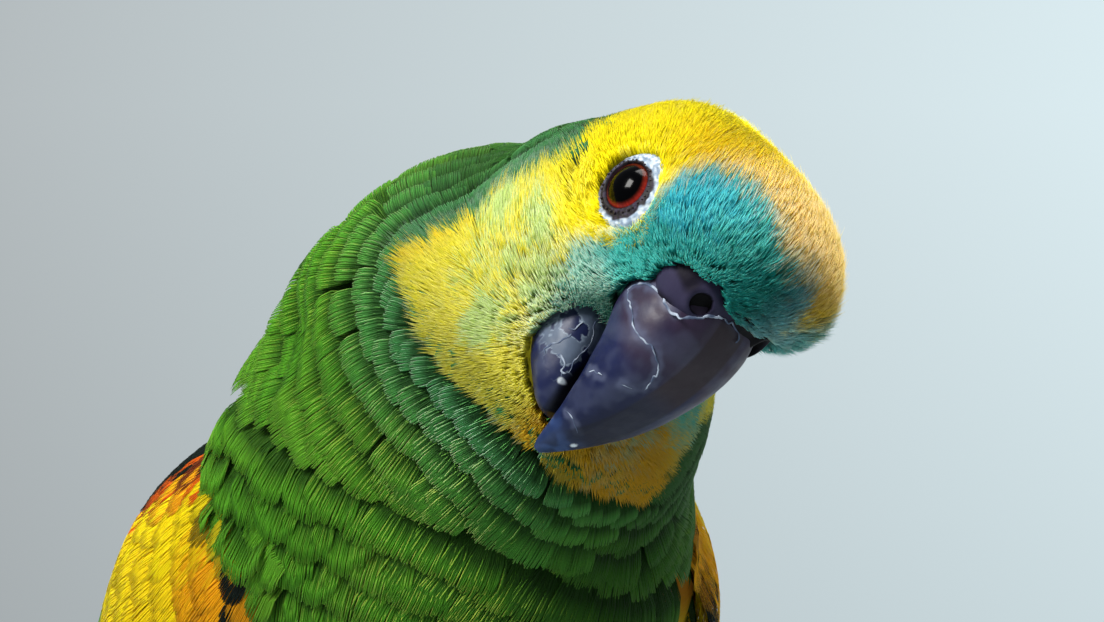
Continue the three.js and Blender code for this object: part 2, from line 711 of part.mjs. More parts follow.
function toe(spec, side, grow) {
  const { length, radius } = spec;
  const joints = [
    { share: 0.08, size: 1.0, height: 1.25 },
    { share: 0.3, size: 1.04, height: 1.0 },
    { share: 0.48, size: 0.88, height: 0.88 },
    { share: 0.68, size: 1.0, height: 0.92 },
    { share: 0.9, size: 0.9, height: 0.86 },
    { share: 1.0, size: 0.6, height: 0.84 },
  ];
  return solid(
    bar(
      joints.map(({ share, size, height }) => ({
        at: toePoint(spec, side, share * length, height * radius),
        wide: size * radius + grow,
      })),
      vec(0, 0, 1),
      8,
    ),
  );
}

function claw(spec, side) {
  const steps = 5;
  const stations = Array.from({ length: steps + 1 }, (_, i) => {
    const t = i / steps;
    const out = spec.length - 3.2 + CLAW_LENGTH * Math.sin(t * 1.25);
    const height = spec.radius * 1.15 + 2.0 * Math.sin(t * Math.PI) - t * t * (spec.radius * 1.15 - 0.75);
    return { at: toePoint(spec, side, out, height), wide: lerp(1.75, 0.3, t), high: lerp(2.1, 0.4, t) };
  });
  return solid(bar(stations, vec(0, 0, 1), 6));
}

// ---- Assembly -----------------------------------------------------------------------------------

const COLOURS = {
  green: 0x3f8a26,
  yellow: 0xf2cf1c,
  horn: 0x3a3947,
  cere: 0x2c2836,
  eye: 0x180f10,
  skin: 0x77736f,
};

const bird = new THREE.Group();
const head = new THREE.Group();
head.applyMatrix4(headFrame);
bird.add(head);

head.add(
  node("head", headShape, COLOURS.yellow, 0.85),
  node("cere", cereShape, COLOURS.cere, 0.6),
  node("bill_upper", upperBill(0), COLOURS.horn, 0.45),
  node("bill_lower", lowerBillShape, COLOURS.horn, 0.45),
);
bird.add(
  node("neck", neckShape, COLOURS.green, 0.85),
  node("torso", torsoShape, COLOURS.green, 0.85),
  node("tail", tailShape, COLOURS.green, 0.8),
);
for (const [side, hand] of [[1, "left"], [-1, "right"]]) {
  const eye = ball(eyeCentre(side), vec(1, 1, 1).multiplyScalar(EYE_RADIUS));
  head.add(node("eye_" + hand, solid(eye), COLOURS.eye, 0.1));
  bird.add(
    node("wing_" + hand, wingShape(side), COLOURS.green, 0.8),
    node("thigh_" + hand, thigh(side, 0).subtract(trunkTubeGrown), COLOURS.green, 0.85),
    node("shank_" + hand, shank(side, 0).subtract(thigh(side, GAP)).subtract(floor), COLOURS.skin, 0.7),
  );
  TOES.forEach((spec, i) => {
    const earlier = TOES.slice(0, i).map((other) => toe(other, side, GAP));
    const toeShape = [shank(side, GAP), floor, ...earlier].reduce(
      (shape, cutter) => shape.subtract(cutter),
      toe(spec, side, 0),
    );
    const clawShape = claw(spec, side).subtract(toe(spec, side, GAP));
    bird.add(
      node("toe_" + hand + "_" + spec.name, toeShape, COLOURS.skin, 0.7),
      node("claw_" + hand + "_" + spec.name, clawShape, COLOURS.horn, 0.4),
    );
  });
}

// The frame's origin is on the floor, under the middle of the bird's box.
bird.updateMatrixWorld(true);
const box = new THREE.Box3().setFromObject(bird, true);
bird.position.set(-(box.min.x + box.max.x) / 2, -(box.min.y + box.max.y) / 2, -box.min.z);

export default bird;
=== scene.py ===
"""A standing amazon parrot, dressed with skin, plumage, bill, eyes and feet over its solid frame.

Shapes are worked out in millimetres in the frame's own axes (+Z up, the bird faces -Y, its left side is
+X) and turned into metres when a mesh is made.
"""

import json
import logging
import math
from dataclasses import dataclass, field, replace
from collections.abc import Callable
from enum import Enum

import bmesh
import bpy
import numpy as np
from mathutils import Matrix, Vector
from mathutils.bvhtree import BVHTree
from mathutils.kdtree import KDTree

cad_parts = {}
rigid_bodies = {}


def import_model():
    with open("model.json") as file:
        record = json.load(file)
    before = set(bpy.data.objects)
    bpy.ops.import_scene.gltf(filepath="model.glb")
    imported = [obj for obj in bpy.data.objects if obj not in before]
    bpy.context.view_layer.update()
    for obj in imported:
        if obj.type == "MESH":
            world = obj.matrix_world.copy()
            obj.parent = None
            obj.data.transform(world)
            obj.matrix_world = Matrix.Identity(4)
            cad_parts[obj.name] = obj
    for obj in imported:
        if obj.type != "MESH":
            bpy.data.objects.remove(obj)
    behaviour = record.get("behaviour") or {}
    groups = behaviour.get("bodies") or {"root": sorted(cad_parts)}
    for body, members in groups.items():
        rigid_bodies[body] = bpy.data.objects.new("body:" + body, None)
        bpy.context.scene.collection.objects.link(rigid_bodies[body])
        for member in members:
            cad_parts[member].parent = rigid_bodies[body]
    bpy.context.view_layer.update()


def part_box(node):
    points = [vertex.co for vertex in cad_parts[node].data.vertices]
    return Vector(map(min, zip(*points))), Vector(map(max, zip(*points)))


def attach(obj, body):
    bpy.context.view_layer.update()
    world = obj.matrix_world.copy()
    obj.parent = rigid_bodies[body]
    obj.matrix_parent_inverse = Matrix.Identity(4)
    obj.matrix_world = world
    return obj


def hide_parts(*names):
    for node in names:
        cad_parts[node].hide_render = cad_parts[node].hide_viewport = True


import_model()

LOG = logging.getLogger("parrot")
MM = 0.001
# A distance beyond any that matters here, in millimetres.
FAR = 99.0
Array = np.ndarray


# ---- Numbers and vectors ------------------------------------------------------------------------


def smooth(value: Array | float, low: float, high: float) -> Array:
    """A soft step from 0 at low to 1 at high."""
    t = np.clip((np.asarray(value, float) - low) / (high - low), 0, 1)
    return t * t * (3 - 2 * t)


def mix(a: Array | float, b: Array | float, t: Array | float) -> Array:
    """The value a share t of the way from a to b."""
    return a + (b - a) * t


def unit(vectors: Array) -> Array:
    """The vectors at length one."""
    return vectors / np.maximum(np.linalg.norm(vectors, axis=-1, keepdims=True), 1e-9)


def dot(a: Array, b: Array) -> Array:
    """Dot products along the last axis, kept as a last axis of one."""
    return (a * b).sum(-1, keepdims=True)


def tint(code: str) -> Array:
    """A linear colour from a six-figure hex code."""
    c = np.array([int(code[i : i + 2], 16) for i in (0, 2, 4)]) / 255
    return np.where(c < 0.04045, c / 12.92, ((c + 0.055) / 1.055) ** 2.4)


def cloud(points: Array, size: float, seed: int) -> Array:
    """A soft random field between 0 and 1 over points in space.

    Args:
        points: Places, shape (n, 3).
        size: Distance over which the field changes.
        seed: Which field.

    Returns:
        One value for each point.
    """
    place = points / size + seed * 7.31
    cell = np.floor(place).astype(np.int64)
    t = place - cell
    t = t * t * (3 - 2 * t)
    total = np.zeros(len(points))
    for corner in range(8):
        step = np.array([corner & 1, corner >> 1 & 1, corner >> 2 & 1])
        k = cell + step
        mixed = (k[:, 0] * 73856093) ^ (k[:, 1] * 19349663) ^ (k[:, 2] * 83492791) ^ (seed * 2654435)
        mixed = ((mixed & 0xFFFFF) * 1103515245 + 12345) & 0x7FFFFFFF
        total += np.prod(np.where(step, t, 1 - t), axis=1) * ((mixed >> 8) & 0xFFFF) / 65535
    return total


def through(values: Array, count: int) -> Array:
    """Rows of values drawn out to more rows on a smooth curve through them.

    Args:
        values: Shape (n, k), evenly spaced along the curve.
        count: Number of rows wanted.

    Returns:
        Shape (count, k).
    """
    n = len(values)
    padded = np.vstack([2 * values[0] - values[1], values, 2 * values[-1] - values[-2]])
    place = np.linspace(0, n - 1, count)
    low = np.minimum(place.astype(int), n - 2)
    t = (place - low)[:, None]
    a, b, c, d = (padded[low + i] for i in range(4))
    return 0.5 * (2 * b + (c - a) * t + (2 * a - 5 * b + 4 * c - d) * t**2 + (3 * b - a - 3 * c + d) * t**3)


def soft_low(a: Array, b: Array, width: float) -> Array:
    """The lower of two fields with the corner between them rounded."""
    h = np.maximum(width - np.abs(a - b), 0) / width
    return np.minimum(a, b) - h * h * width / 4


def pitched(points: Array, degrees: float) -> Array:
    """Points turned about the X axis, from +Y towards +Z, shape (n, 3).

    Args:
        points: Places, shape (n, 3).
        degrees: The turn.

    Returns:
        The turned places.
    """
    c, s = math.cos(math.radians(degrees)), math.sin(math.radians(degrees))
    x, y, z = points.T
    return np.stack([x, y * c - z * s, y * s + z * c], -1)


def oval(local: Array, half: Array) -> Array:
    """Distance out of an oval ball, about, from points in its own axes.

    Args:
        local: Places from the ball's middle.
        half: Its half sizes.

    Returns:
        Distances, negative inside.
    """
    near = np.linalg.norm(local / half, axis=-1)
    slope = np.maximum(np.linalg.norm(local / half**2, axis=-1), 1e-9)
    return near * (near - 1) / slope


# ---- Meshes -------------------------------------------------------------------------------------


def in_scene(name: str, data: bpy.types.ID) -> bpy.types.Object:
    """A new object of the scene that shows a mesh, a camera or a lamp."""
    made = bpy.data.objects.new(name, data)
    bpy.context.scene.collection.objects.link(made)
    return made


def make_mesh(
    name: str,
    points: Array,
    faces: list[Array],
    tints: Array | None = None,
    uv: Array | None = None,
    flat: bool = False,
) -> bpy.types.Object:
    """A mesh object from arrays.

    Args:
        name: The piece's name.
        points: Places in millimetres, shape (n, 3).
        faces: Arrays of point numbers, each with faces of one number of corners.
        tints: Linear colours for the points, shape (n, 3), kept as the attribute "Tint".
        uv: Flat places for the points, shape (n, 2), kept as the UV map "OFBake".
        flat: Whether faces stay flat.

    Returns:
        The object, linked to the scene.
    """
    mesh = bpy.data.meshes.new(name)
    corners = np.concatenate([f.ravel() for f in faces])
    sizes = np.concatenate([np.full(len(f), f.shape[1]) for f in faces])
    mesh.vertices.add(len(points))
    mesh.vertices.foreach_set("co", (points * MM).astype(np.float32).ravel())
    mesh.loops.add(len(corners))
    mesh.loops.foreach_set("vertex_index", corners.astype(np.int32))
    mesh.polygons.add(len(sizes))
    starts = np.concatenate([[0], np.cumsum(sizes)[:-1]]).astype(np.int32)
    mesh.polygons.foreach_set("loop_start", starts)
    mesh.polygons.foreach_set("loop_total", sizes.astype(np.int32))
    mesh.update(calc_edges=True)
    mesh.validate()
    if len(mesh.loops) == len(corners):
        mesh.polygons.foreach_set("use_smooth", np.full(len(sizes), not flat))
        if uv is not None:
            layer = mesh.uv_layers.new(name="OFBake")
            layer.data.foreach_set("uv", uv[corners].astype(np.float32).ravel())
    if tints is not None:
        paint(mesh, tints)
    return in_scene(name, mesh)


def paint(mesh: bpy.types.Mesh, tints: Array) -> None:
    """Keeps linear colours for a mesh's points as the attribute "Tint".

    Args:
        mesh: The mesh.
        tints: Linear colours, shape (n, 3).
    """
    layer = mesh.color_attributes.new("Tint", "FLOAT_COLOR", "POINT")
    rgba = np.ones((len(tints), 4), np.float32)
    rgba[:, :3] = np.clip(tints, 0, 1)
    layer.data.foreach_set("color", rgba.ravel())


def mesh_points(mesh: bpy.types.Mesh) -> Array:
    """A mesh's points in millimetres.

    Args:
        mesh: The mesh.

    Returns:
        The points, shape (n, 3).
    """
    co = np.zeros(len(mesh.vertices) * 3, np.float32)
    mesh.vertices.foreach_get("co", co)
    return co.reshape(-1, 3).astype(float) / MM


def move_points(mesh: bpy.types.Mesh, points: Array) -> None:
    """Puts a mesh's points at places in millimetres."""
    mesh.vertices.foreach_set("co", (points * MM).astype(np.float32).ravel())
    mesh.update()


def ring_faces(rings: int, sides: int, start: int = 0) -> Array:
    """Four-cornered faces of a tube whose points lie ring by ring.

    Args:
        rings: Number of rings.
        sides: Points in a ring.
        start: Number of the first point.

    Returns:
        The faces, shape ((rings - 1) * sides, 4).
    """
    r, s = np.meshgrid(np.arange(rings - 1), np.arange(sides), indexing="ij")
    here = start + r * sides + s
    beside = start + r * sides + (s + 1) % sides
    return np.stack([here, beside, beside + sides, here + sides], -1).reshape(-1, 4)


def closed_tube(rings: Array, start: int = 0) -> tuple[Array, list[Array]]:
    """Points and faces of a tube with a point at the middle of each end.

    Args:
        rings: Shape (rings, sides, 3).
        start: Number of the first point.

    Returns:
        The points, and arrays of faces.
    """
    count, sides = rings.shape[:2]
    points = np.vstack([rings.reshape(-1, 3), rings[0].mean(0), rings[-1].mean(0)])
    s = np.arange(sides)
    nxt = (s + 1) % sides
    first, last = start + count * sides, start + count * sides + 1
    head = np.stack([np.full(sides, first), start + nxt, start + s], -1)
    base = start + (count - 1) * sides
    tail = np.stack([np.full(sides, last), base + s, base + nxt], -1)
    return points, [ring_faces(count, sides, start), head, tail]


def tube(path: Array, wide: Array, high: Array, up: Array, sides: int) -> Array:
    """Rings of an oval bar along a path.

    Args:
        path: Middles of the rings, shape (n, 3).
        wide: Half widths across the path.
        high: Half heights towards up.
        up: A direction that the heights lean to.
        sides: Points in a ring.

    Returns:
        Shape (n, sides, 3).
    """
    along = unit(np.gradient(path, axis=0))
    across = unit(np.cross(along, up))
    rise = np.cross(across, along)
    turn = np.linspace(0, 2 * np.pi, sides, endpoint=False)[None, :, None]
    return (
        path[:, None]
        + across[:, None] * np.asarray(wide)[:, None, None] * np.cos(turn)
        + rise[:, None] * np.asarray(high)[:, None, None] * np.sin(turn)
    )


def outwards(made: bpy.types.Object) -> bpy.types.Object:
    """Turns every face of a closed mesh outwards.

    Args:
        made: The object, whose mesh is closed.

    Returns:
        The same object.
    """
    work = bmesh.new()
    work.from_mesh(made.data)
    bmesh.ops.recalc_face_normals(work, faces=work.faces)
    work.to_mesh(made.data)
    work.free()
    return made


def fused(name: str, parts: list[tuple[Array, list[Array]]], voxel: float, soften: int) -> bpy.types.Object:
    """One closed skin round several closed shapes.

    Args:
        name: The piece's name.
        parts: Points and faces of each shape.
        voxel: Size of the skin's mesh, in millimetres.
        soften: How often the skin is smoothed.

    Returns:
        The skin, as an object.
    """
    points, faces, start = [], {3: [], 4: []}, 0
    for part_points, part_faces in parts:
        points.append(part_points)
        for group in part_faces:
            faces[group.shape[1]].append(group + start)
        start += len(part_points)
    groups = [np.vstack(g) for g in faces.values() if g]
    blank = outwards(make_mesh(name + "_blank", np.vstack(points), groups))
    remesh = blank.modifiers.new("Remesh", "REMESH")
    remesh.mode = "VOXEL"
    remesh.voxel_size = voxel * MM
    remesh.use_smooth_shade = True
    if soften:
        relax = blank.modifiers.new("Smooth", "SMOOTH")
        relax.factor = 0.5
        relax.iterations = soften
    return settled(name, blank)


def settled(name: str, live: bpy.types.Object) -> bpy.types.Object:
    """A plain mesh object of what an object's modifiers make, which takes the object's place.

    Args:
        name: The new object's name.
        live: The object with its modifiers, which is removed.

    Returns:
        The new object.
    """
    bpy.context.view_layer.update()
    graph = bpy.context.evaluated_depsgraph_get()
    mesh = bpy.data.meshes.new_from_object(live.evaluated_get(graph), depsgraph=graph)
    bpy.data.objects.remove(live)
    mesh.name = name
    return in_scene(name, mesh)


def ball_part(centre: Array, half: Array, around: int = 32, down: int = 20) -> tuple[Array, list[Array]]:
    """Points and faces of an oval ball along the frame's axes.

    Args:
        centre: The ball's middle.
        half: Its half sizes along X, Y and Z.
        around: Points in a ring.
        down: Number of rings.

    Returns:
        The points and the groups of faces.
    """
    fall = np.linspace(0.04, np.pi - 0.04, down)[:, None]
    turn = np.linspace(0, 2 * np.pi, around, endpoint=False)[None]
    rings = np.stack(
        [np.sin(fall) * np.cos(turn), np.sin(fall) * np.sin(turn), np.cos(fall) + 0 * turn], -1
    )
    return closed_tube(rings * half + centre)


# ---- Finishes -----------------------------------------------------------------------------------


class Shader:
    """A material's node tree while it is put together."""

    def __init__(self, name: str) -> None:
        """Starts a material that has only a principled surface.

        Args:
            name: The material's name.
        """
        self.material = bpy.data.materials.new(name)
        self.material.use_nodes = True
        self.nodes = self.material.node_tree.nodes
        self.surface = self.nodes["Principled BSDF"]

    def add(self, kind: str, **values: object) -> bpy.types.Node:
        """Adds a node; names with a capital set its inputs and the others its own settings.

        Args:
            kind: The node's type, without its first words.
            values: Values of inputs and settings by name, with _ for a space.

        Returns:
            The node.
        """
        node = self.nodes.new("ShaderNode" + kind)
        for name, value in values.items():
            if name[0].isupper():
                node.inputs[name.replace("_", " ")].default_value = value
            else:
                setattr(node, name, value)
        return node

    def join(self, source: bpy.types.NodeSocket, target: bpy.types.NodeSocket) -> None:
        """Links two sockets."""
        self.material.node_tree.links.new(source, target)

    def tinted(self, spread: float = 0.0, scale: float = 900.0) -> None:
        """The surface takes its colour from "Tint", with fine light and dark over it.

        Args:
            spread: How much lighter and darker the colour grows.
            scale: How fine the light and dark are.
        """
        colour = self.add("Attribute", attribute_name="Tint").outputs["Color"]
        if spread > 0:
            place = self.add("TexCoord").outputs["Object"]
            grain = self.add("TexNoise", Scale=scale, Detail=3.0)
            self.join(place, grain.inputs["Vector"])
            level = self.add("MapRange", To_Min=1 - spread, To_Max=1 + spread)
            self.join(grain.outputs["Fac"], level.inputs["Value"])
            scaled = self.add("VectorMath", operation="SCALE")
            self.join(colour, scaled.inputs[0])
            self.join(level.outputs["Result"], scaled.inputs["Scale"])
            colour = scaled.outputs[0]
        self.join(colour, self.surface.inputs["Base Color"])

    def bumped(self, height: bpy.types.NodeSocket, distance: float, strength: float = 1.0) -> None:
        """The surface is raised by a height, with the given distance in metres for a height of one.

        Args:
            height: Gives the height.
            distance: Metres for a height of one.
            strength: Share of the relief that is used.
        """
        bump = self.add("Bump", Distance=distance, Strength=strength)
        self.join(height, bump.inputs["Height"])
        self.join(bump.outputs["Normal"], self.surface.inputs["Normal"])

    def set(self, **values: object) -> None:
        """Sets the surface's own sockets; an underscore stands for a space."""
        for name, value in values.items():
            self.surface.inputs[name.replace("_", " ")].default_value = value


@dataclass(frozen=True)
class PlumeFinish:
    """Soft dull feather barbs that take their colour from each feather."""

    name: str
    roughness: float = 0.7
    glow: float = 0.5

    def make(self) -> bpy.types.Material:
        """Builds the material.

        Returns:
            The material.
        """
        shader = Shader(self.name)
        shader.tinted()
        shader.set(Roughness=self.roughness, Specular_IOR_Level=0.1, Subsurface_Weight=self.glow)
        shader.set(Subsurface_Radius=(1.0, 0.85, 0.5), Subsurface_Scale=0.0007)
        return shader.material


@dataclass(frozen=True)
class VaneFinish:
    """The close web of a long feather, ribbed with slanting barbs."""

    name: str
    ribs: float = 95.0
    roughness: float = 0.45

    def make(self) -> bpy.types.Material:
        """Builds the material.

        Returns:
            The material.
        """
        shader = Shader(self.name)
        shader.tinted(0.18, 260.0)
        place = shader.add("UVMap", uv_map="Web").outputs["UV"]
        ribs = shader.add("TexWave", Scale=self.ribs, Distortion=0.6, Detail=1.0, bands_direction="Y")
        shader.join(place, ribs.inputs["Vector"])
        shader.bumped(ribs.outputs["Fac"], 0.00012, 0.7)
        shader.set(Roughness=self.roughness, Specular_IOR_Level=0.15)
        return shader.material


@dataclass(frozen=True)
class HornFinish:
    """Polished horn with growth lines, for the bill and the claws."""

    name: str
    roughness: float = 0.38
    coat: float = 0.06
    relief: float = 0.00006

    def make(self) -> bpy.types.Material:
        """Builds the material.

        Returns:
            The material.
        """
        shader = Shader(self.name)
        shader.tinted(0.22, 420.0)
        place = shader.add("TexCoord").outputs["Object"]
        scratch = shader.add("TexNoise", Scale=520.0, Detail=5.0, Roughness=0.65)
        shader.join(place, scratch.inputs["Vector"])
        shader.bumped(scratch.outputs["Fac"], self.relief)
        dull = shader.add("MapRange", To_Min=self.roughness - 0.1, To_Max=self.roughness + 0.22)
        shader.join(scratch.outputs["Fac"], dull.inputs["Value"])
        shader.join(dull.outputs["Result"], shader.surface.inputs["Roughness"])
        shader.set(Specular_IOR_Level=0.22, Coat_Weight=self.coat, Coat_Roughness=0.25)
        return shader.material


@dataclass(frozen=True)
class SkinFinish:
    """Bare or downy skin with fine creases."""

    name: str
    grain: float = 1400.0
    relief: float = 0.00008
    roughness: float = 0.55
    spread: float = 0.12
    shine: float = 0.3

    def make(self) -> bpy.types.Material:
        """Builds the material.

        Returns:
            The material.
        """
        shader = Shader(self.name)
        shader.tinted(self.spread, self.grain * 0.4)
        place = shader.add("TexCoord").outputs["Object"]
        crease = shader.add("TexVoronoi", Scale=self.grain)
        shader.join(place, crease.inputs["Vector"])
        shader.bumped(crease.outputs["Distance"], self.relief)
        shader.set(Roughness=self.roughness, Specular_IOR_Level=self.shine)
        return shader.material


@dataclass(frozen=True)
class EyeFinish:
    """The wet ball of the eye."""

    name: str

    def make(self) -> bpy.types.Material:
        """Builds the material.

        Returns:
            The material.
        """
        shader = Shader(self.name)
        shader.tinted()
        shader.set(Roughness=0.12, Specular_IOR_Level=0.12)
        return shader.material


@dataclass(frozen=True)
class FloorFinish:
    """A plain pale studio floor."""

    name: str
    colour: tuple[float, float, float, float] = (0.4, 0.45, 0.47, 1.0)

    def make(self) -> bpy.types.Material:
        """Builds the material.

        Returns:
            The material.
        """
        shader = Shader(self.name)
        shader.set(Base_Color=self.colour, Roughness=0.8, Specular_IOR_Level=0.2)
        return shader.material


class Slot(Enum):
    """The part's material slots."""

    HEAD = "head_feathers"
    BODY = "body_feathers"
    WING = "wing_feathers"
    TAIL = "tail_feathers"
    BILL = "bill"
    CERE = "cere"
    EYE = "eye"
    FOOT = "foot_skin"
    CLAW = "claw"


def material_of(finish: object) -> bpy.types.Material:
    """A finish's material, made once and then shared."""
    return bpy.data.materials.get(finish.name) or finish.make()


def finish_piece(piece: bpy.types.Object, finish: object, slot: Slot, *nodes: str) -> None:
    """Gives a piece its material and its place in the frame.

    Args:
        piece: The finished mesh object.
        finish: A finish, which makes the material.
        slot: The part's material slot; not used.
        nodes: The solids that the piece stands for.
    """
    piece.data.materials.clear()
    piece.data.materials.append(material_of(finish))
    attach(piece, "root")
    if nodes:
        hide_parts(*nodes)
    LOG.info("%s: %d faces", piece.name, len(piece.data.polygons))


# ---- The bird's form ----------------------------------------------------------------------------


# The head's turns in degrees: sideways about Z, the nod about X and the tilt about Y.
HEAD_TURNS = (-6.0, 42.0, 43.5)
# Where the eyes lie in the head's axes, ahead and up.
EYE_AHEAD, EYE_UP = 0.9, 0.2


@dataclass(frozen=True)
class HeadAxes:
    """The head's own axes: ahead along the bill, to the bird's left, and up to the crown."""

    origin: Array
    turn: Array

    @classmethod
    def from_eyes(cls, middle: Array) -> "HeadAxes":
        """The axes for a head whose eyes have their middle at a place in the frame.

        Args:
            middle: The place halfway between the eyes, in millimetres.

        Returns:
            The head's axes.
        """
        cz, sz, cx, sx, cy, sy = (f(math.radians(a)) for a in HEAD_TURNS for f in (math.cos, math.sin))
        about_z = np.array([[cz, -sz, 0], [sz, cz, 0], [0, 0, 1]])
        about_x = np.array([[1, 0, 0], [0, cx, -sx], [0, sx, cx]])
        about_y = np.array([[cy, 0, sy], [0, 1, 0], [-sy, 0, cy]])
        turn = about_z @ about_x @ about_y
        axes = np.stack([-turn[:, 1], turn[:, 0], turn[:, 2]], 1)
        return cls(middle - axes @ np.array([EYE_AHEAD, 0, EYE_UP]), axes)

    def out(self, local: Array) -> Array:
        """Places in the frame from (ahead, left, up)."""
        return self.origin + np.asarray(local, float) @ self.turn.T

    def local(self, points: Array) -> Array:
        """(ahead, left, up) from places in the frame."""
        return (points - self.origin) @ self.turn

    def swing(self, local: Array) -> Array:
        """Directions in the frame from directions in (ahead, left, up)."""
        return np.asarray(local, float) @ self.turn.T


@dataclass
class BodyForm:
    """The outline of the bird's feathers as one soft field, and what lies on it."""

    head: HeadAxes
    shift: Array
    flesh_blend: float = 13.0
    hip: tuple[float, float, float] = (18, 22, 70)
    ankle: tuple[float, float, float] = (22, 28, 33)
    masses: tuple = (  # centre, half sizes, pitch in degrees
        ((0, 24, 104), (38, 76, 39), 48),
        ((0, -3, 122), (36, 37, 36), 0),
        ((-1, -6, 139), (31, 31, 27), 0),
        ((1, -22, 158.5), (29.5, 29, 28), 0),
        ((4.5, -33, 148), (23, 21, 20), 0),
        ((0, 82, 50), (21.5, 46, 12.5), 24.5),
    )
    head_masses: tuple = (  # centre and half sizes as ahead, left, up, then the blend
        ((-1.5, 0, 0), (19.5, 16, 16.5), 5),
        ((10.5, 0, 9), (13, 17.5, 12), 8),
        ((-3, 10.5, -13), (12.5, 9.5, 13), 6),
        ((-3, -10.5, -13), (12.5, 9.5, 13), 6),
        ((-5, 0, -21), (14.5, 12, 9.5), 6),
        ((-12, 0, -12), (11.5, 17, 13.5), 6),
    )
    dish: tuple[float, float, float] = (1.6, 17.6, 0.3)
    dish_half: tuple[float, float, float] = (7.2, 2.9, 7.0)
    dents: tuple = (  # places ahead, left, up on the nape, radius, and depth
        ((-19, -8, -67), 8, 3.2), ((-26, -7, -60), 8, -1.2), ((-25, -12.6, -30), 14, 2.0),
    )
    thigh_radii: tuple = ((-0.42, 4.6), (-0.34, 10.2), (-0.12, 14.9), (0.18, 15.5), (0.5, 12.1),
                          (0.85, 8.8), (1.02, 6.9), (1.1, 4.5))

    def head_field(self, points: Array) -> Array:
        """Distance out of the head alone, with the shallow dishes that the eyes lie in.

        Args:
            points: Places in the frame.

        Returns:
            Distances, negative inside.
        """
        local = self.head.local(points)
        low = np.full(len(points), 1e6)
        for centre, half, blend in self.head_masses:
            low = soft_low(low, oval(local - np.array(centre), np.array(half, float)), blend)
        for side in (1, -1):
            dish = oval(local - np.array(self.dish) * [1, side, 1], np.array(self.dish_half))
            low = -soft_low(-low, dish, 1.2)
        return low

    def nape_dents(self, points: Array) -> Array:
        """How much deeper the outline lies in the creases of the bent nape.

        Args:
            points: Places in the frame.

        Returns:
            Depths in millimetres.
        """
        local = self.head.local(points)
        total = np.zeros(len(points))
        for centre, radius, depth in self.dents:
            off = ((local - np.array(centre)) ** 2).sum(1) / radius**2
            total += depth * np.exp(-off)
        return total

    def field(self, points: Array) -> Array:
        """Distance out of the feathered outline, negative inside.

        Args:
            points: Places in the frame, shape (n, 3).

        Returns:
            Distances, shape (n,).
        """
        low = np.full(len(points), 1e6)
        for centre, half, pitch in self.masses:
            local = points - np.array(centre) - self.shift
            low = soft_low(low, oval(pitched(local, pitch), np.array(half, float)), self.flesh_blend)
        low = soft_low(low, self.head_field(points), self.flesh_blend)
        shares, radii = np.array(self.thigh_radii).T
        for side in (1, -1):
            top, foot = (np.array(p) * [side, 1, 1] + self.shift for p in (self.hip, self.ankle))
            share = np.clip((points - top) @ (foot - top) / ((foot - top) @ (foot - top)), -0.42, 1.1)
            axis = top + share[:, None] * (foot - top)
            away = np.linalg.norm(points - axis, axis=1) - np.interp(share, shares, radii)
            low = soft_low(low, away, 7.0)
        return low + self.nape_dents(points)

    def slope(self, points: Array) -> tuple[Array, Array]:
        """The field and its outward direction at points.

        Args:
            points: Places in the frame.

        Returns:
            The field and its direction, shape (n, 3).
        """
        here = self.field(points)
        step = 0.4
        grad = np.stack([self.field(points + step * axis) - here for axis in np.eye(3)], -1) / step
        return here, grad

    def settle(self, points: Array, height: Array | float, rounds: int = 2) -> tuple[Array, Array]:
        """Moves points straight out or in until they lie at a height over the outline.

        Args:
            points: Places, shape (n, 3).
            height: Wanted height, one value or one for each point.
            rounds: How often the move is repeated.

        Returns:
            The moved points and their outward directions.
        """
        for _ in range(rounds):
            here, grad = self.slope(points)
            steep = np.maximum((grad**2).sum(1), 0.2)
            points = points - grad * np.clip((here - height) / steep, -9, 9)[:, None]
        return points, unit(grad)


# ---- Markings -----------------------------------------------------------------------------------


def dye(code: str) -> Array:
    """A field of a dataclass that holds the colour of a six-figure hex code."""
    return field(default_factory=lambda: tint(code))


@dataclass(frozen=True)
class Palette:
    """The plumage's colours."""

    crown: Array = dye("FFE602")
    gold: Array = dye("FFC803")
    brow: Array = dye("FFCC4A")
    cheek: Array = dye("F0E22A")
    amber: Array = dye("D0940F")
    mottle: Array = dye("A6D670")
    teal: Array = dye("1B9A8A")
    cyan: Array = dye("1996A8")
    sea: Array = dye("57B08E")
    slate_sea: Array = dye("58A8A8")
    # Painted light: a paler turquoise that stands in for light on the far side of the face.
    lit_sea: Array = dye("8CD2CA")
    neck: Array = dye("36783F")
    green: Array = dye("4C911C")
    leaf: Array = dye("62A022")
    # Painted shade: a darker green that stands in for shade on the breast, the nape and the far side of the
    # throat.
    shade_green: Array = dye("224A10")
    # Painted shade: the olive that stands in for the bill's shadow on the chin.
    shaded_olive: Array = dye("7C7A1E")
    deep: Array = dye("122C09")
    dark: Array = dye("0B1410")
    pale: Array = dye("A9BF8C")
    yellow: Array = dye("FFD806")
    orange: Array = dye("F7850A")
    red: Array = dye("D42A0A")
    blue: Array = dye("1B3F8F")
    ink: Array = dye("0C1026")


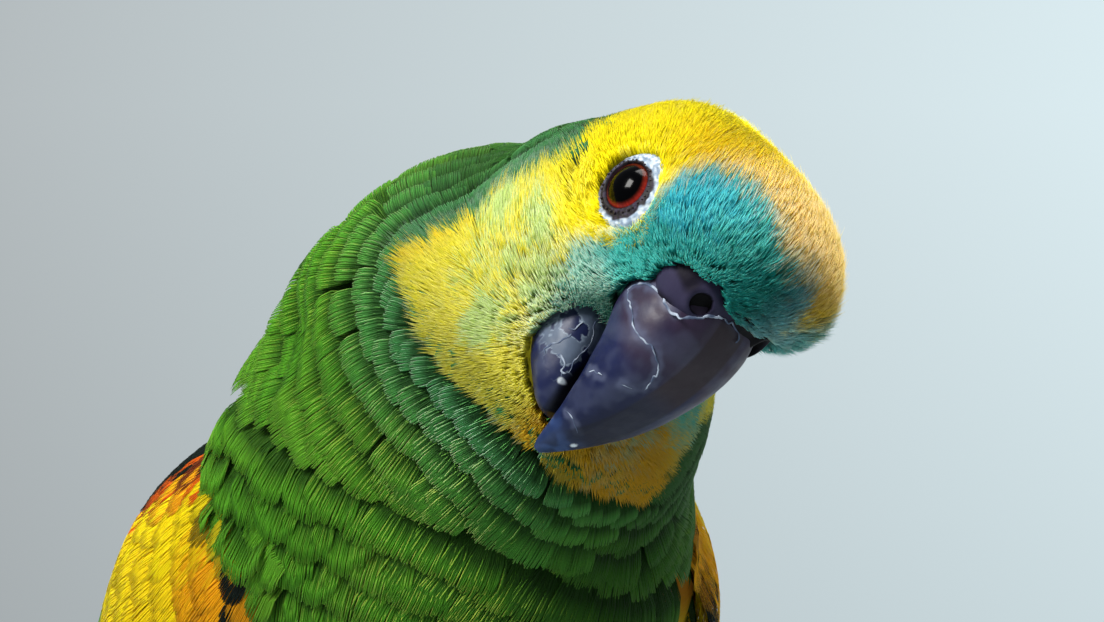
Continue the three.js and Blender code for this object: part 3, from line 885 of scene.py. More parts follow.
@dataclass
class Markings:
    """Where each colour lies on the skin and on the feathers that grow from it."""

    head: HeadAxes
    palette: Palette = field(default_factory=Palette)
    pole: tuple[float, float, float] = (-1.1, 0, -4.8)
    axis: tuple[float, float, float] = (0.94, 0, -0.34)
    # The dark feathers at the back of the nape.
    ruff: tuple[float, float, float] = (-31, -7, -58)
    ruff_half: tuple[float, float, float] = (4.5, 7, 11)
    # How far the turquoise reaches from the bill, in degrees, by the way round it from the crown.
    teal_way: tuple = (0, 12, 20, 25, 30, 41, 48, 57, 63, 75, 87, 101, 108, 118, 127, 138, 151, 165, 180)
    teal_reach: tuple = (62, 64, 71, 77, 79, 82, 81, 75, 66, 58, 58, 57, 54, 50, 47, 46, 44, 29, 26)
    # Back edge of the yellow hood, as distance ahead by height.
    hood_up: tuple = (-40, -19, -13, -8.3, -3.6, 0, 20)
    hood_back: tuple = (-11.7, -10.0, -8.2, -7.6, -11.3, -18.6, -21)
    # Lower edge of the yellow hood, as height by distance to the left.
    hood_left: tuple = (-18, -13, -9, -5, 0, 5, 11, 18, 24)
    hood_low: tuple = (-39.8, -39.7, -39.2, -36.5, -36.1, -35.4, -34.4, -32.5, -31.3)
    # Pale green flecks in the cheek: ahead, outwards, up and radius.
    flecks: tuple = ((3.3, 18.6, -13.8, 4.0), (-2.6, 18.9, -20.5, 4.2), (7.0, 12.5, -27.6, 3.2),
                     (7.5, 11.5, -30.6, 3.4), (8.5, 12.9, -18.3, 5.4), (-9.5, 18.0, -23.0, 2.6))

    def bearings(self, local: Array) -> tuple[Array, Array]:
        """The angle from the bill's line, and the way round it from the crown, both in degrees.

        Args:
            local: Places in the head's axes.

        Returns:
            Both angles, the second below 0 on the right side.
        """
        axis = unit(np.array(self.axis))
        crown = unit(np.array([0, 0, 1.0]) - axis[2] * axis)
        ray = unit(local - np.array(self.pole))
        fall = np.degrees(np.arccos(np.clip(ray @ axis, -1, 1)))
        return fall, np.degrees(np.arctan2(ray[:, 1], ray @ crown))

    def hood(self, local: Array, ragged: Array | float = 0.0) -> Array:
        """How far inside the yellow and turquoise hood points lie, 0 to 1.

        Args:
            local: Places in the head's axes.
            ragged: How far the edge is moved, in millimetres.

        Returns:
            Shares from 0 to 1.
        """
        ahead, left, up = local.T
        back = smooth(ahead + ragged - np.interp(up, self.hood_up, self.hood_back), -1.6, 1.6)
        low = np.interp(left, self.hood_left, self.hood_low)
        below = smooth(up - low + ragged, -1.6, 1.6)
        neck = 1 - smooth(left + ragged, 23.5, 26.0) * smooth(-up, 14, 20)
        return back * below * neck

    def teal(self, local: Array, ragged: Array | float = 0.0) -> Array:
        """How far inside the turquoise round the bill points lie, 0 to 1.

        Args:
            local: Places in the head's axes.
            ragged: How far the edge is moved.

        Returns:
            Shares from 0 to 1.
        """
        fall, way = self.bearings(local)
        reach = np.interp(np.abs(way), self.teal_way, self.teal_reach)
        reach = reach - 15 * smooth(way, 106, 122) * (1 - smooth(way, 155, 172))
        reach = reach - 19 * smooth(way, 2, 22) * (1 - smooth(way, 70, 90))
        return 1 - smooth(fall + ragged * 2.2, reach - 7, reach + 4)

    def yellow(self, points: Array, local: Array, rng: np.random.Generator) -> Array:
        """Colours of the yellow part of the hood.

        Args:
            points: Places in the frame.
            local: The same places in the head's axes.
            rng: Random numbers.

        Returns:
            Colours, shape (n, 3).
        """
        c = self.palette
        ahead, left, up = local.T
        way = self.bearings(local)[1]
        side = np.abs(way)
        tone = mix(c.crown, c.gold, (smooth(ahead, -10, 4) * smooth(up, 4, 12) * 0.8)[:, None])
        tone = mix(tone, c.brow, (smooth(ahead, 4, 15) * smooth(up, 8, 14) * 0.9)[:, None])
        tone = mix(tone, c.cheek, smooth(side, 84, 112)[:, None])
        rim = smooth(-ahead, 3, 9) * smooth(side, 95, 110) * (1 - smooth(side, 148, 165))
        tone = mix(tone, c.gold, (rim * 0.7)[:, None])
        throat = np.maximum(smooth(side, 166, 178), smooth(way, 98, 122))
        tone = mix(tone, c.amber, throat[:, None])
        # Painted shade: the yellow under the bill's tip turns olive, as the bill's shadow on the chin.
        jaw_shade = smooth(side, 146, 158) * (1 - smooth(side, 170, 179)) * (1 - smooth(up, -33, -29))
        tone = mix(tone, c.shaded_olive, (jaw_shade * 0.6)[:, None])
        centre = np.stack([(ahead - 3.5) / 9.0, (np.abs(left) - 15) / 20, (up + 21) / 12], -1)
        green = 0.38 * (1 - smooth(np.linalg.norm(centre, axis=1), 0.5, 1.1))
        for ahead_mid, out_mid, up_mid, radius in self.flecks:
            off = np.stack([ahead - ahead_mid, (np.abs(left) - out_mid) * 0.5, up - up_mid], -1)
            gap = np.linalg.norm(off, axis=1) + (cloud(points, 3.0, 5) - 0.5) * 3.0
            green = np.maximum(green, 1 - smooth(gap, radius * 0.3, radius * 1.3))
        green = smooth(green - rng.uniform(0.1, 0.9, len(points)), -0.25, 0.25)
        return mix(tone, c.mottle, (green * 0.75)[:, None])

    def face(self, points: Array, ends: Array, rng: np.random.Generator) -> tuple[Array, Array]:
        """Tip and root colours of the feathers at places on the hood.

        Args:
            points: The roots' places in the frame.
            ends: The places that the feathers reach.
            rng: Random numbers.

        Returns:
            Tip colours and root colours, each of shape (n, 3).
        """
        c = self.palette
        local = self.head.local(points)
        left = local[:, 1]
        ragged = rng.normal(0, 0.9, len(points))
        fall, way = self.bearings(local)
        side = np.abs(way)
        tone = self.yellow(points, local, rng)
        middle = np.hypot((fall - 70) / 14, (side - 42) / 20) + rng.normal(0, 0.2, len(points))
        sea = mix(c.teal, c.cyan, (1 - smooth(middle, 0.2, 1.3))[:, None])
        sea = mix(sea, c.sea, smooth(side, 74, 108)[:, None])
        sea = mix(sea, c.slate_sea, smooth(left, -5, 3)[:, None] * (1 - smooth(side, 60, 90))[:, None])
        # Painted light: the turquoise turns paler on the bird's left, as light falling on the far side of the
        # face.
        sea = mix(sea, c.lit_sea, (smooth(left, 0, 5) * (1 - smooth(side, 60, 90)) * 0.6)[:, None])
        sea = mix(sea, c.teal, (smooth(left, 7, 12) * (1 - smooth(side, 60, 90)) * 0.8)[:, None])
        # Painted shade: the turquoise is darkened by up to 0.3 in wavy bands near the middle of the face, as
        # the shade in the folds of its feathers.
        crease = 0.5 + 0.5 * np.sin(fall * 1.05 + cloud(points, 5.0, 9) * 7)
        crease = smooth(crease, 0.45, 0.95) * smooth(left, -9, -4) * (1 - smooth(left, 3, 9))
        sea = sea * (1 - 0.3 * crease * (1 - smooth(fall, 72, 82)))[:, None]
        mask = self.teal(local, ragged)
        tone = mix(tone, sea, mask[:, None])
        hood = smooth(self.hood(self.head.local(ends), ragged * 0.7), 0.2, 0.5)[:, None]
        tone = mix(self.green(points, rng)[0], tone, hood)
        # Root colours are darker than the tips: partly the feathers' hidden bases, partly painted shade
        # between the fine feathers.
        root = tone * mix(0.78, 0.6, mask)[:, None]
        return tone, mix(tone * 0.4, root, hood)

    def green(self, points: Array, rng: np.random.Generator) -> tuple[Array, Array]:
        """Tip and root colours of the green feathers of the neck and the body.

        Args:
            points: Places in the frame.
            rng: Random numbers.

        Returns:
            Tip colours and root colours, each of shape (n, 3).
        """
        c = self.palette
        local = self.head.local(points)
        far = np.linalg.norm((local - np.array([2, 0, -14])) * [1, 0.8, 1], axis=1)
        tone = mix(c.neck, c.green, smooth(far, 25, 40)[:, None])
        lift = smooth(cloud(points, 9.0, 21), 0.3, 0.8)[:, None]
        tone = mix(tone, c.leaf, lift * 0.5 * smooth(far, 25, 36)[:, None])
        low = smooth(-points[:, 2], -66, -40)[:, None]
        tone = mix(tone, mix(c.leaf, c.pale, 0.25), low * 0.6)
        ruff = np.linalg.norm((local - np.array(self.ruff)) / np.array(self.ruff_half), axis=1)
        tone = mix(c.dark, tone, smooth(ruff, 0.6, 1.1)[:, None])
        # Painted shade: the green darkens on the lower breast, the upper nape and the far side of the throat,
        # where the head's shade falls.
        breast_shade = smooth(points[:, 0], -30, 10) * smooth(-points[:, 1], 45, 65)
        breast_shade = breast_shade * (1 - smooth(points[:, 2] - np.abs(points[:, 0]), 115, 140))
        nape = smooth(-local[:, 0], 8, 15) * smooth(local[:, 2], -40, -26) * (1 - smooth(local[:, 1], 8, 20))
        shade = np.maximum(breast_shade * 0.85, nape * 0.85)
        shade = np.maximum(shade, smooth(local[:, 1], 14, 24) * smooth(local[:, 0], 2, 9) * 0.85)
        tone = mix(tone, c.shade_green, shade[:, None])
        tone = tone * rng.uniform(0.88, 1.08, (len(points), 1))
        # Root colours are dark: partly the feathers' own dark downy bases, partly painted shadow below the
        # edge of the row above.
        return tone, mix(c.deep, tone * 0.3, 0.5)

    def skin(self, points: Array) -> Array:
        """The skin's colours, which repeat the feathers' markings darkly, as painted shade under the coat.

        Args:
            points: Places in the frame.

        Returns:
            Colours, shape (n, 3).
        """
        rng = np.random.default_rng(4)
        local = self.head.local(points)
        tone, _ = self.face(points, points, rng)
        return tone * mix(0.2, 0.7, self.hood(local))[:, None]


@dataclass
class Flow:
    """Distances over the skin from the bill and from the hood, and the ways in which they grow."""

    skin: bpy.types.Object
    points: Array = field(init=False)
    tris: Array = field(init=False)
    tree: KDTree = field(init=False)

    def __post_init__(self) -> None:
        """Reads the skin's mesh."""
        mesh = self.skin.data
        self.points = mesh_points(mesh)
        mesh.calc_loop_triangles()
        tris = np.zeros(len(mesh.loop_triangles) * 3, np.int32)
        mesh.loop_triangles.foreach_get("vertices", tris)
        self.tris = tris.reshape(-1, 3).astype(np.int64)
        self.tree = KDTree(len(self.points))
        for i, point in enumerate(self.points):
            self.tree.insert(point, i)
        self.tree.balance()

    def spread(self, seeds: Array, rounds: int = 240) -> Array:
        """Distance of every point over the skin from the nearest seed.

        Args:
            seeds: True for the points that the distance starts from.
            rounds: Most rounds of a front that crosses one triangle a round.

        Returns:
            One distance for each point.
        """
        a, b, c = np.vstack([self.tris[:, [i, (i + 1) % 3, (i + 2) % 3]] for i in range(3)]).T
        one, two = self.points[a] - self.points[c], self.points[b] - self.points[c]
        m11, m12, m22 = (one**2).sum(1), (one * two).sum(1), (two**2).sum(1)
        det = np.maximum(m11 * m22 - m12**2, 1e-9)
        q11, q12, q22 = m22 / det, -m12 / det, m11 / det
        whole = q11 + 2 * q12 + q22
        far = np.where(seeds, 0.0, 1e3)
        for _ in range(rounds):
            ta, tb = far[a], far[b]
            r = (q11 + q12) * ta + (q12 + q22) * tb
            under = r * r - whole * (q11 * ta * ta + 2 * q12 * ta * tb + q22 * tb * tb - 1)
            t = (r + np.sqrt(np.maximum(under, 0))) / whole
            inside = (q11 * (ta - t) + q12 * (tb - t) < 0) & (q12 * (ta - t) + q22 * (tb - t) < 0)
            t = np.where(inside & (under > 0), t, np.minimum(ta + np.sqrt(m11), tb + np.sqrt(m22)))
            new = far.copy()
            np.minimum.at(new, c, t)
            if np.abs(new - far).max() < 1e-3:
                break
            far = new
        return self.relaxed(far[:, None], 12)[:, 0]

    def relaxed(self, values: Array, rounds: int) -> Array:
        """Values at the points, evened out with their neighbours'.

        Args:
            values: One row for each point.
            rounds: How often they are evened out.

        Returns:
            The evened values.
        """
        a, b = np.vstack([self.tris[:, [i, (i + 1) % 3]] for i in range(3)]).T
        count = np.bincount(a, minlength=len(self.points))[:, None]
        for _ in range(rounds):
            near = [np.bincount(a, values[b, i], len(self.points)) for i in range(values.shape[1])]
            values = values * 0.5 + np.stack(near, -1) / count * 0.5
        return values

    def ways(self, values: Array) -> Array:
        """Unit directions at the points in which values grow.

        Args:
            values: One value for each point.

        Returns:
            Directions along the skin, shape (n, 3).
        """
        a, b, c = self.tris.T
        pa, pb, pc = self.points[a], self.points[b], self.points[c]
        normal = np.cross(pb - pa, pc - pa)
        area = np.linalg.norm(normal, axis=1, keepdims=True)
        normal = normal / np.maximum(area, 1e-9)
        slope = (values[a, None] * np.cross(normal, pc - pb) + values[b, None] * np.cross(normal, pa - pc)
                 + values[c, None] * np.cross(normal, pb - pa))
        total = np.zeros_like(self.points)
        for corner in (a, b, c):
            for i in range(3):
                total[:, i] += np.bincount(corner, slope[:, i], len(self.points))
        return unit(self.relaxed(unit(total), 4))

    def nearest(self, points: Array) -> Array:
        """Numbers of the skin's points nearest to places."""
        return np.array([self.tree.find(p)[1] for p in points], int)

    def contour(self, values: Array, level: float) -> list[Array]:
        """Closed lines over the skin along which a value is level.

        Args:
            values: One value for each point of the skin.
            level: The wanted value.

        Returns:
            Lines as arrays of places, each one round.
        """
        above = values > level
        mask = above[self.tris]
        links: dict[tuple[int, int], list[tuple[int, int]]] = {}
        for tri in self.tris[mask.any(1) & ~mask.all(1)].tolist():
            pairs = ((tri[0], tri[1]), (tri[1], tri[2]), (tri[2], tri[0]))
            first, second = [(min(p), max(p)) for p in pairs if above[p[0]] != above[p[1]]]
            links.setdefault(first, []).append(second)
            links.setdefault(second, []).append(first)
        lines = []
        while links:
            here = next(iter(links))
            line = []
            while here is not None:
                line.append(here)
                here = next((other for other in links.pop(here) if other in links), None)
            if len(line) < 12:
                continue
            a, b = np.array(line).T
            share = ((level - values[a]) / (values[b] - values[a]))[:, None]
            places = self.points[a] + (self.points[b] - self.points[a]) * share
            for _ in range(3):
                places = (places + np.roll(places, 1, 0) + np.roll(places, -1, 0)) / 3
            lines.append(places)
        return lines


# ---- Feathers -----------------------------------------------------------------------------------


@dataclass
class Plumes:
    """Soft feathers of one kind. Each is a fan of barbs, and each barb a slim closed strip."""

    roots: Array
    lies: Array
    lengths: Array
    halves: Array
    tips: Array
    bases: Array
    patches: Array
    barbs: int = 24
    stations: tuple[float, ...] = (0.0, 0.58, 0.82, 1.0)
    widths: tuple[float, ...] = (0.8, 1.0, 0.95, 0.45)
    arch: tuple[float, ...] = (0.0, 0.14, 0.85, 1.0)
    blunt: bool = True
    sunk: Array | float = 2.4
    raised: Array | float = 0.35
    rounding: Array | float = 0.07
    camber: float = 0.04
    fullness: float = 0.54
    ridge: float = 0.24
    stray: float = 0.03
    bend: float = 0.01
    loose: Array | float = 0.03
    # Where along a feather the colour turns from the root's to the tip's; the dark root colour stands in
    # partly for shade under the feathers that lie over it.
    turn_in: tuple[float, float] = (0.42, 0.78)
    root_spread: float = 0.4

    def paths(self, rng: np.random.Generator) -> tuple[Array, Array, Array, Array]:
        """How far across, along and up every barb's stations lie from its feather's root.

        Args:
            rng: Random numbers.

        Returns:
            Across, along and height, each of shape (feathers, barbs, stations), and the barbs' places
            across the feather, from -1 to 1.
        """
        n, nb = len(self.roots), self.barbs
        t = np.array(self.stations)[None, None]
        q = np.clip(np.linspace(-1, 1, nb)[None] + rng.normal(0, 0.3 / nb, (n, nb)), -1.1, 1.1)[..., None]
        rounding = np.broadcast_to(self.rounding, (n,))[:, None, None]
        reach = 1 - rounding * np.abs(q) ** 2.3 + rng.normal(0, self.stray, q.shape)
        half = self.halves[:, None, None]
        length = self.lengths[:, None, None]
        spread = mix(self.root_spread, 1.0, smooth(t, 0.0, 0.75))
        bend = rng.normal(0, self.bend, (n, nb, 1)) * length * t**2
        lean = rng.normal(0, 0.03, (n, 1, 1)) * length * t**1.5
        across = q * half * spread + bend + lean
        forward = length * t * reach
        lift = np.broadcast_to(self.raised, (n,))[:, None, None] * rng.uniform(0.88, 1.12, (n, 1, 1))
        sunk = np.broadcast_to(self.sunk, (n,))[:, None, None]
        height = lift * np.array(self.arch) - sunk * (1 - smooth(t, 0.0, 0.55))
        height = height + self.camber * half * (1 - q**2) * t
        loose = np.broadcast_to(self.loose, (n,))[:, None, None]
        height = height + np.abs(rng.normal(0, 1, (n, nb, 1))) * loose * t**2
        return across, forward, height, q

    def colours(self, rng: np.random.Generator) -> Array:
        """Colours of every barb's stations, shape (feathers, barbs, stations, 3).

        Args:
            rng: Random numbers.

        Returns:
            The colours.
        """
        n, nb = len(self.roots), self.barbs
        t = np.array(self.stations)[None, None, :, None]
        tone = mix(self.bases[:, None, None], self.tips[:, None, None], smooth(t, *self.turn_in))
        return tone * rng.uniform(0.91, 1.09, (n, nb, 1, 1))

    def grow(self, surface: "Surface", rng: np.random.Generator) -> "Barbs":
        """Grows the barbs over a surface.

        Args:
            surface: What the feathers lie on.
            rng: Random numbers.

        Returns:
            The barbs' meshes, still as arrays.
        """
        across, forward, height, q = self.paths(rng)
        n, nb, k = across.shape
        index = np.repeat(np.arange(n), nb * k)
        flat = [a.reshape(-1) for a in np.broadcast_arrays(across, forward, height)]
        points, ups = surface.place(self.roots, self.lies, index, *flat)
        points, ups = points.reshape(n * nb, k, 3), ups.reshape(n * nb, k, 3)
        thick = (self.halves * 2 / max(nb - 1, 1) * self.fullness)[:, None, None]
        widths = np.broadcast_to(thick, (n, nb, 1)).reshape(-1, 1) * np.array(self.widths)[None]
        tones = self.colours(rng).reshape(n * nb, k, 3)
        patch = np.repeat(self.patches, nb, axis=0)[:, None]
        local = np.stack(
            np.broadcast_arrays(q[..., 0].reshape(-1, 1), np.array(self.stations)[None] * 2 - 1), -1
        )
        places = patch + np.clip(local, -1, 1) * 0.0015
        return Barbs(points, ups, widths, tones, places, self.blunt, self.ridge)


@dataclass
class Barbs:
    """Slim closed strips as arrays: points along each, ups, half widths, colours and flat places."""

    points: Array
    ups: Array
    widths: Array
    tones: Array
    places: Array
    blunt: bool
    ridge: float

    @property
    def triangles(self) -> int:
        """Number of triangles in all the strips."""
        n, k = self.points.shape[:2]
        return n * (6 * (k - 1) + 2 if self.blunt else 6 * (k - 2) + 4)

    def arrays(self) -> tuple[Array, Array, Array, Array]:
        """Points, faces, colours and flat places of all the strips.

        Returns:
            The four arrays, ready for a mesh.
        """
        n, k = self.points.shape[:2]
        way = unit(np.gradient(self.points, axis=1))
        across = unit(np.cross(way, self.ups))
        rise = np.cross(across, way)
        w = self.widths[..., None]
        rings = k if self.blunt else k - 1
        body = slice(0, rings)
        low = self.points - rise * w * 0.2
        left, right, top = low - across * w, low + across * w, self.points + rise * w * self.ridge
        ring = np.stack([left[:, body], right[:, body], top[:, body]], 2)
        points = np.concatenate([ring.reshape(n, -1, 3), self.points[:, rings:]], 1)
        per = points.shape[1]
        faces = [[0, 2, 1]]
        for s in range(rings - 1):
            for i, j in ((0, 1), (1, 2), (2, 0)):
                faces += [[3 * s + i, 3 * s + j, 3 * s + j + 3], [3 * s + i, 3 * s + j + 3, 3 * s + i + 3]]
        a = 3 * (rings - 1)
        end = [[a, a + 1, a + 2]]
        if not self.blunt:
            end = [[a, a + 1, a + 3], [a + 1, a + 2, a + 3], [a + 2, a, a + 3]]
        faces = np.array(faces + end)[None] + (np.arange(n) * per)[:, None, None]
        tones, places = (
            np.concatenate([np.repeat(v[:, body], 3, axis=1), v[:, rings:]], 1).reshape(n * per, -1)
            for v in (self.tones, self.places)
        )
        return points.reshape(-1, 3), faces.reshape(-1, 3), tones, places


class Surface:
    """What feathers lie on."""

    def place(self, roots: Array, lies: Array, index: Array, across: Array, along: Array, height: Array
              ) -> tuple[Array, Array]:
        """Places on feathers.

        Args:
            roots: The feathers' roots.
            lies: The ways in which they lie.
            index: Which feather each place is on.
            across: Distance of each place across its feather.
            along: Distance along it.
            height: Height over the surface.

        Returns:
            The places and the outward directions there.
        """
        raise NotImplementedError


@dataclass
class BodySurface(Surface):
    """The bird's outline. Roots are places on it and lies unit directions along it."""

    form: BodyForm

    def place(self, roots: Array, lies: Array, index: Array, across: Array, along: Array, height: Array
              ) -> tuple[Array, Array]:
        """See Surface."""
        ups = unit(self.form.slope(roots)[1])
        sides = unit(np.cross(lies, ups))
        start = roots[index] + sides[index] * across[:, None] + lies[index] * along[:, None]
        return self.form.settle(start + ups[index] * height[:, None], height, 2)


def combine(barbs: list[Barbs]) -> tuple[Array, Array, Array, Array]:
    """Points, faces, colours and flat places of several lots of barbs together.

    Args:
        barbs: The lots.

    Returns:
        The four arrays, with the faces counted on from lot to lot.
    """
    points, faces, tones, places, start = [], [], [], [], 0
    for lot in barbs:
        p, f, c, u = lot.arrays()
        points.append(p)
        faces.append(f + start)
        tones.append(c)
        places.append(u)
        start += len(p)
    return np.vstack(points), np.vstack(faces), np.vstack(tones), np.vstack(places)


def coat_pieces(name: str, barbs: list[Barbs], finish: PlumeFinish, slot: Slot, limit: int = 190000
                ) -> list[bpy.types.Object]:
    """Makes a coat of strips as pieces of no more than a number of triangles.

    Args:
        name: The pieces' name, which a number follows.
        barbs: Lots of strips, each no larger than the limit.
        finish: The pieces' finish.
        slot: The part's material slot.
        limit: Most triangles in a piece.

    Returns:
        The pieces.
    """
    made, lot, count = [], [], 0
    for item in [*barbs, None]:
        size = 0 if item is None else item.triangles
        if lot and (item is None or count + size > limit):
            points, faces, tones, places = combine(lot)
            piece = make_mesh(f"{name}_{len(made) + 1}", points, [faces], tones, places)
            finish_piece(piece, finish, slot)
            made.append(piece)
            lot, count = [], 0
        if item is not None:
            lot.append(item)
            count += size
    return made


def split(plumes: Plumes, size: int) -> list[Plumes]:
    """Feathers of one kind as lots of no more than a number of feathers.

    Args:
        plumes: The feathers.
        size: The most feathers in a lot.

    Returns:
        The lots, in order.
    """
    each = ("roots", "lies", "lengths", "halves", "tips", "bases", "patches")
    raised = np.broadcast_to(plumes.raised, (len(plumes.roots),))
    rounding = np.broadcast_to(plumes.rounding, (len(plumes.roots),))
    loose = np.broadcast_to(plumes.loose, (len(plumes.roots),))
    return [
        replace(plumes, raised=raised[low : low + size], rounding=rounding[low : low + size],
                loose=loose[low : low + size],
                **{name: getattr(plumes, name)[low : low + size] for name in each})
        for low in range(0, len(plumes.roots), size)
    ]


# ---- Skin ---------------------------------------------------------------------------------------


@dataclass
class Skin:
    """One skin under the plumage of the head, the neck, the body and the thighs."""

    form: BodyForm
    markings: Markings
    voxel: float = 1.5
    head_depth: float = 1.5
    body_depth: float = 3.2
    piece: bpy.types.Object | None = None

    def parts(self) -> list[tuple[Array, list[Array]]]:
        """The masses of flesh as closed balls.

        Returns:
            Points and groups of faces of each mass.
        """
        made = []
        for centre, half, pitch in self.form.masses:
            points, faces = ball_part(np.zeros(3), np.array(half, float) - 2)
            made.append((pitched(points, -pitch) + np.array(centre) + self.form.shift, faces))
        for centre, half, _ in self.form.head_masses:
            points, faces = ball_part(np.array(centre, float), np.array(half, float) - 1)
            made.append((self.form.head.out(points), faces))
        shares, radii = np.array(self.form.thigh_radii).T
        for side in (1, -1):
            top, foot = (np.array(p) * [side, 1, 1] + self.form.shift
                         for p in (self.form.hip, self.form.ankle))
            path = top + shares[:, None] * (foot - top)
            wide = np.maximum(radii - 1.5, 1)
            made.append(closed_tube(tube(path, wide, wide, np.array([0, -1.0, 0]), 20)))
        return made

    def build(self) -> bpy.types.Object:
        """Makes the skin and lays it under the outline by the depth of the coat.

        Returns:
            The skin.
        """
        piece = fused("skin", self.parts(), self.voxel, 2)
        points = mesh_points(piece.data)
        near = smooth(np.linalg.norm(points - self.form.head.origin, axis=1), 30, 60)
        depth = mix(self.head_depth, self.body_depth, near)
        points, _ = self.form.settle(points, -depth, 4)
        move_points(piece.data, points)
        paint(piece.data, self.markings.skin(points))
        self.piece = piece
        return piece

    def dress(self) -> None:
        """Gives the skin its finish."""
        finish_piece(self.piece, SkinFinish("skin under plumage", roughness=0.8), Slot.BODY,
                     "head", "neck", "torso", "thigh_left", "thigh_right")


# ---- Bill, cere and mouth -----------------------------------------------------------------------


@dataclass
class Bill:
    """The two mandibles, with the horn's flakes and worn edges."""

    head: HeadAxes
    upper_marks: tuple = (  # top ahead and up, bottom ahead and up, half width
        (12.5, 7, 8, -8.6, 7.4), (17, 6.6, 10, -9.8, 9.6), (21.4, 4.6, 12.6, -12.4, 10.2),
        (24, 1.6, 15.2, -15, 9.9), (25.9, -2.6, 17.2, -17.8, 9.2), (27, -7.6, 18.6, -20.6, 8.2),
        (27.3, -13, 19.7, -23.4, 7.0), (26.9, -18.4, 20.4, -26, 5.6), (25.9, -23.4, 20.7, -28.4, 4.2),
        (24.6, -27.8, 20.8, -30.4, 2.9), (23.2, -31.2, 21.1, -32.2, 1.7), (22.2, -33.3, 21.5, -33.4, 0.6),
    )
    lower_marks: tuple = (
        (3, -12.6, 3, -26.5, 8.4), (7.5, -13.4, 7.5, -27.8, 9.0), (11, -14.8, 11, -28.6, 9.0),
        (14, -17, 14.5, -29.3, 8.6), (17, -20, 17.8, -29.6, 7.6), (19.2, -23.2, 20, -29, 5.8),
        (20.4, -25.6, 20.8, -27.8, 3.6),
    )
    # Pale lines of flaking horn, as places ahead, left and up.
    flake_lines: tuple = (  # half width, then the line
        (0.2, ((12.5, -9.1, -7.6), (13.1, -9.6, -5.8), (13.7, -9.8, -4.5), (15.5, -10.0, -3.2),
               (17.4, -10.0, -2.0), (18.7, -9.8, -1.6), (19.9, -9.5, -1.8), (21.3, -9.2, -1.4),
               (22.5, -9.0, -0.8), (23.2, -8.7, -0.3), (23.7, -8.3, 1.0), (24.3, -7.9, 2.2),
               (24.3, -7.4, 3.2), (23.6, -5.7, 3.6), (23.4, -4.4, 3.9))),
        (0.13, ((23.4, -4.4, 3.9), (22.6, -1.4, 3.7), (22.5, 0.8, 3.2), (22.8, 1.7, 2.6),
                (23.3, 1.4, 1.9))),
        (0.12, ((12.5, -9.1, -7.6), (15.1, -9.8, -7.5), (17.5, -10.1, -7.3), (19.4, -9.9, -7.8),
                (21.3, -9.5, -7.6), (23.1, -8.8, -7.2), (24.1, -8.1, -6.6), (24.9, -7.2, -6.7),
                (25.7, -6.1, -7.5), (26.3, -5.1, -8.6), (26.7, -4.5, -10.2), (26.8, -4.2, -11.6))),
        (0.08, ((20.8, -7.6, -17.9), (21.5, -7.8, -17.1), (22.5, -7.7, -16.7), (23.3, -7.6, -16.0))),
        (0.07, ((25.5, -6.5, -14.1), (25.8, -6.2, -13.4), (26.3, -5.4, -13.2))),
        (0.1, ((22.9, -4.9, -24.7), (24.0, -4.5, -24.3), (24.7, -3.6, -24.4), (25.2, -2.0, -25.1))),
    )
    lower_lines: tuple = (
        (0.1, ((8.4, -8.4, -16.2), (8.5, -7.8, -15.2), (9.0, -6.8, -14.5), (9.6, -5.9, -14.3),
               (10.8, -5.6, -14.9), (12.2, -5.9, -16.0), (13.5, -5.7, -16.9), (15.3, -6.0, -18.6),
               (16.5, -6.4, -20.1), (17.7, -6.4, -21.9))),
        (0.13, ((14.0, -8.6, -23.9), (13.3, -8.7, -23.3), (13.5, -8.6, -21.5), (13.6, -8.3, -19.9),
                (13.2, -8.2, -18.9))),
        (0.15, ((15.1, -8.1, -21.9), (15.8, -7.7, -21.4), (16.8, -7.2, -21.7), (17.3, -7.1, -22.3),
                (17.7, -6.5, -22.1))),
        (0.1, ((10.8, -8.0, -16.7), (12.1, -7.6, -17.1), (12.7, -8.0, -18.0), (12.4, -8.5, -19.1))),
    )
    chips: tuple = ((24.6, 0.5, -27.5), (18.4, -6.4, -23.4))
    upper: bpy.types.Object | None = None
    lower: bpy.types.Object | None = None

    def mandible(self, marks: tuple, top_square: float, bottom_square: float, rings: int, sides: int,
                 facet: float) -> Array:
        """Rings of a mandible in the head's axes.

        Args:
            marks: Sizes from root to tip.
            top_square: How square the upper half of a ring is, below 1.
            bottom_square: The same for the lower half.
            rings: Number of rings.
            sides: Points in a ring.
            facet: Share of a ring's height above which its crest is flattened.

        Returns:
            Shape (rings, sides, 3).
        """
        sizes = through(np.array(marks, float), rings)
        upper = np.stack([sizes[:, 0], np.zeros(rings), sizes[:, 1]], -1)[:, None]
        lower = np.stack([sizes[:, 2], np.zeros(rings), sizes[:, 3]], -1)[:, None]
        middle, rise = (upper + lower) / 2, (upper - lower) / 2
        turn = np.linspace(0, 2 * np.pi, sides, endpoint=False)[None, :, None]
        square = np.where(np.cos(turn) > 0, top_square, bottom_square)
        side = np.sign(np.sin(turn)) * np.abs(np.sin(turn)) ** square
        lift = np.sign(np.cos(turn)) * np.abs(np.cos(turn)) ** 0.9
        lift = np.where(lift > facet, facet + (lift - facet) * 0.25, lift)
        wide = np.maximum(sizes[:, 4], 0.35)[:, None, None]
        return middle + rise * lift + side * wide * np.array([0, 1.0, 0])

    def near_lines(self, local: Array, lines: tuple) -> Array:
        """Distance from each point to the nearest pale line.

        Args:
            local: Places in the head's axes.
            lines: The lines, each a half width and its points.

        Returns:
            Distances in millimetres.
        """
        low = np.full(len(local), 1e6)
        for _, line in lines:
            marks = np.array(line)
            for a, b in zip(marks[:-1], marks[1:]):
                share = np.clip((local - a) @ (b - a) / ((b - a) @ (b - a)), 0, 1)
                low = np.minimum(low, np.linalg.norm(local - a - share[:, None] * (b - a), axis=1))
        return low

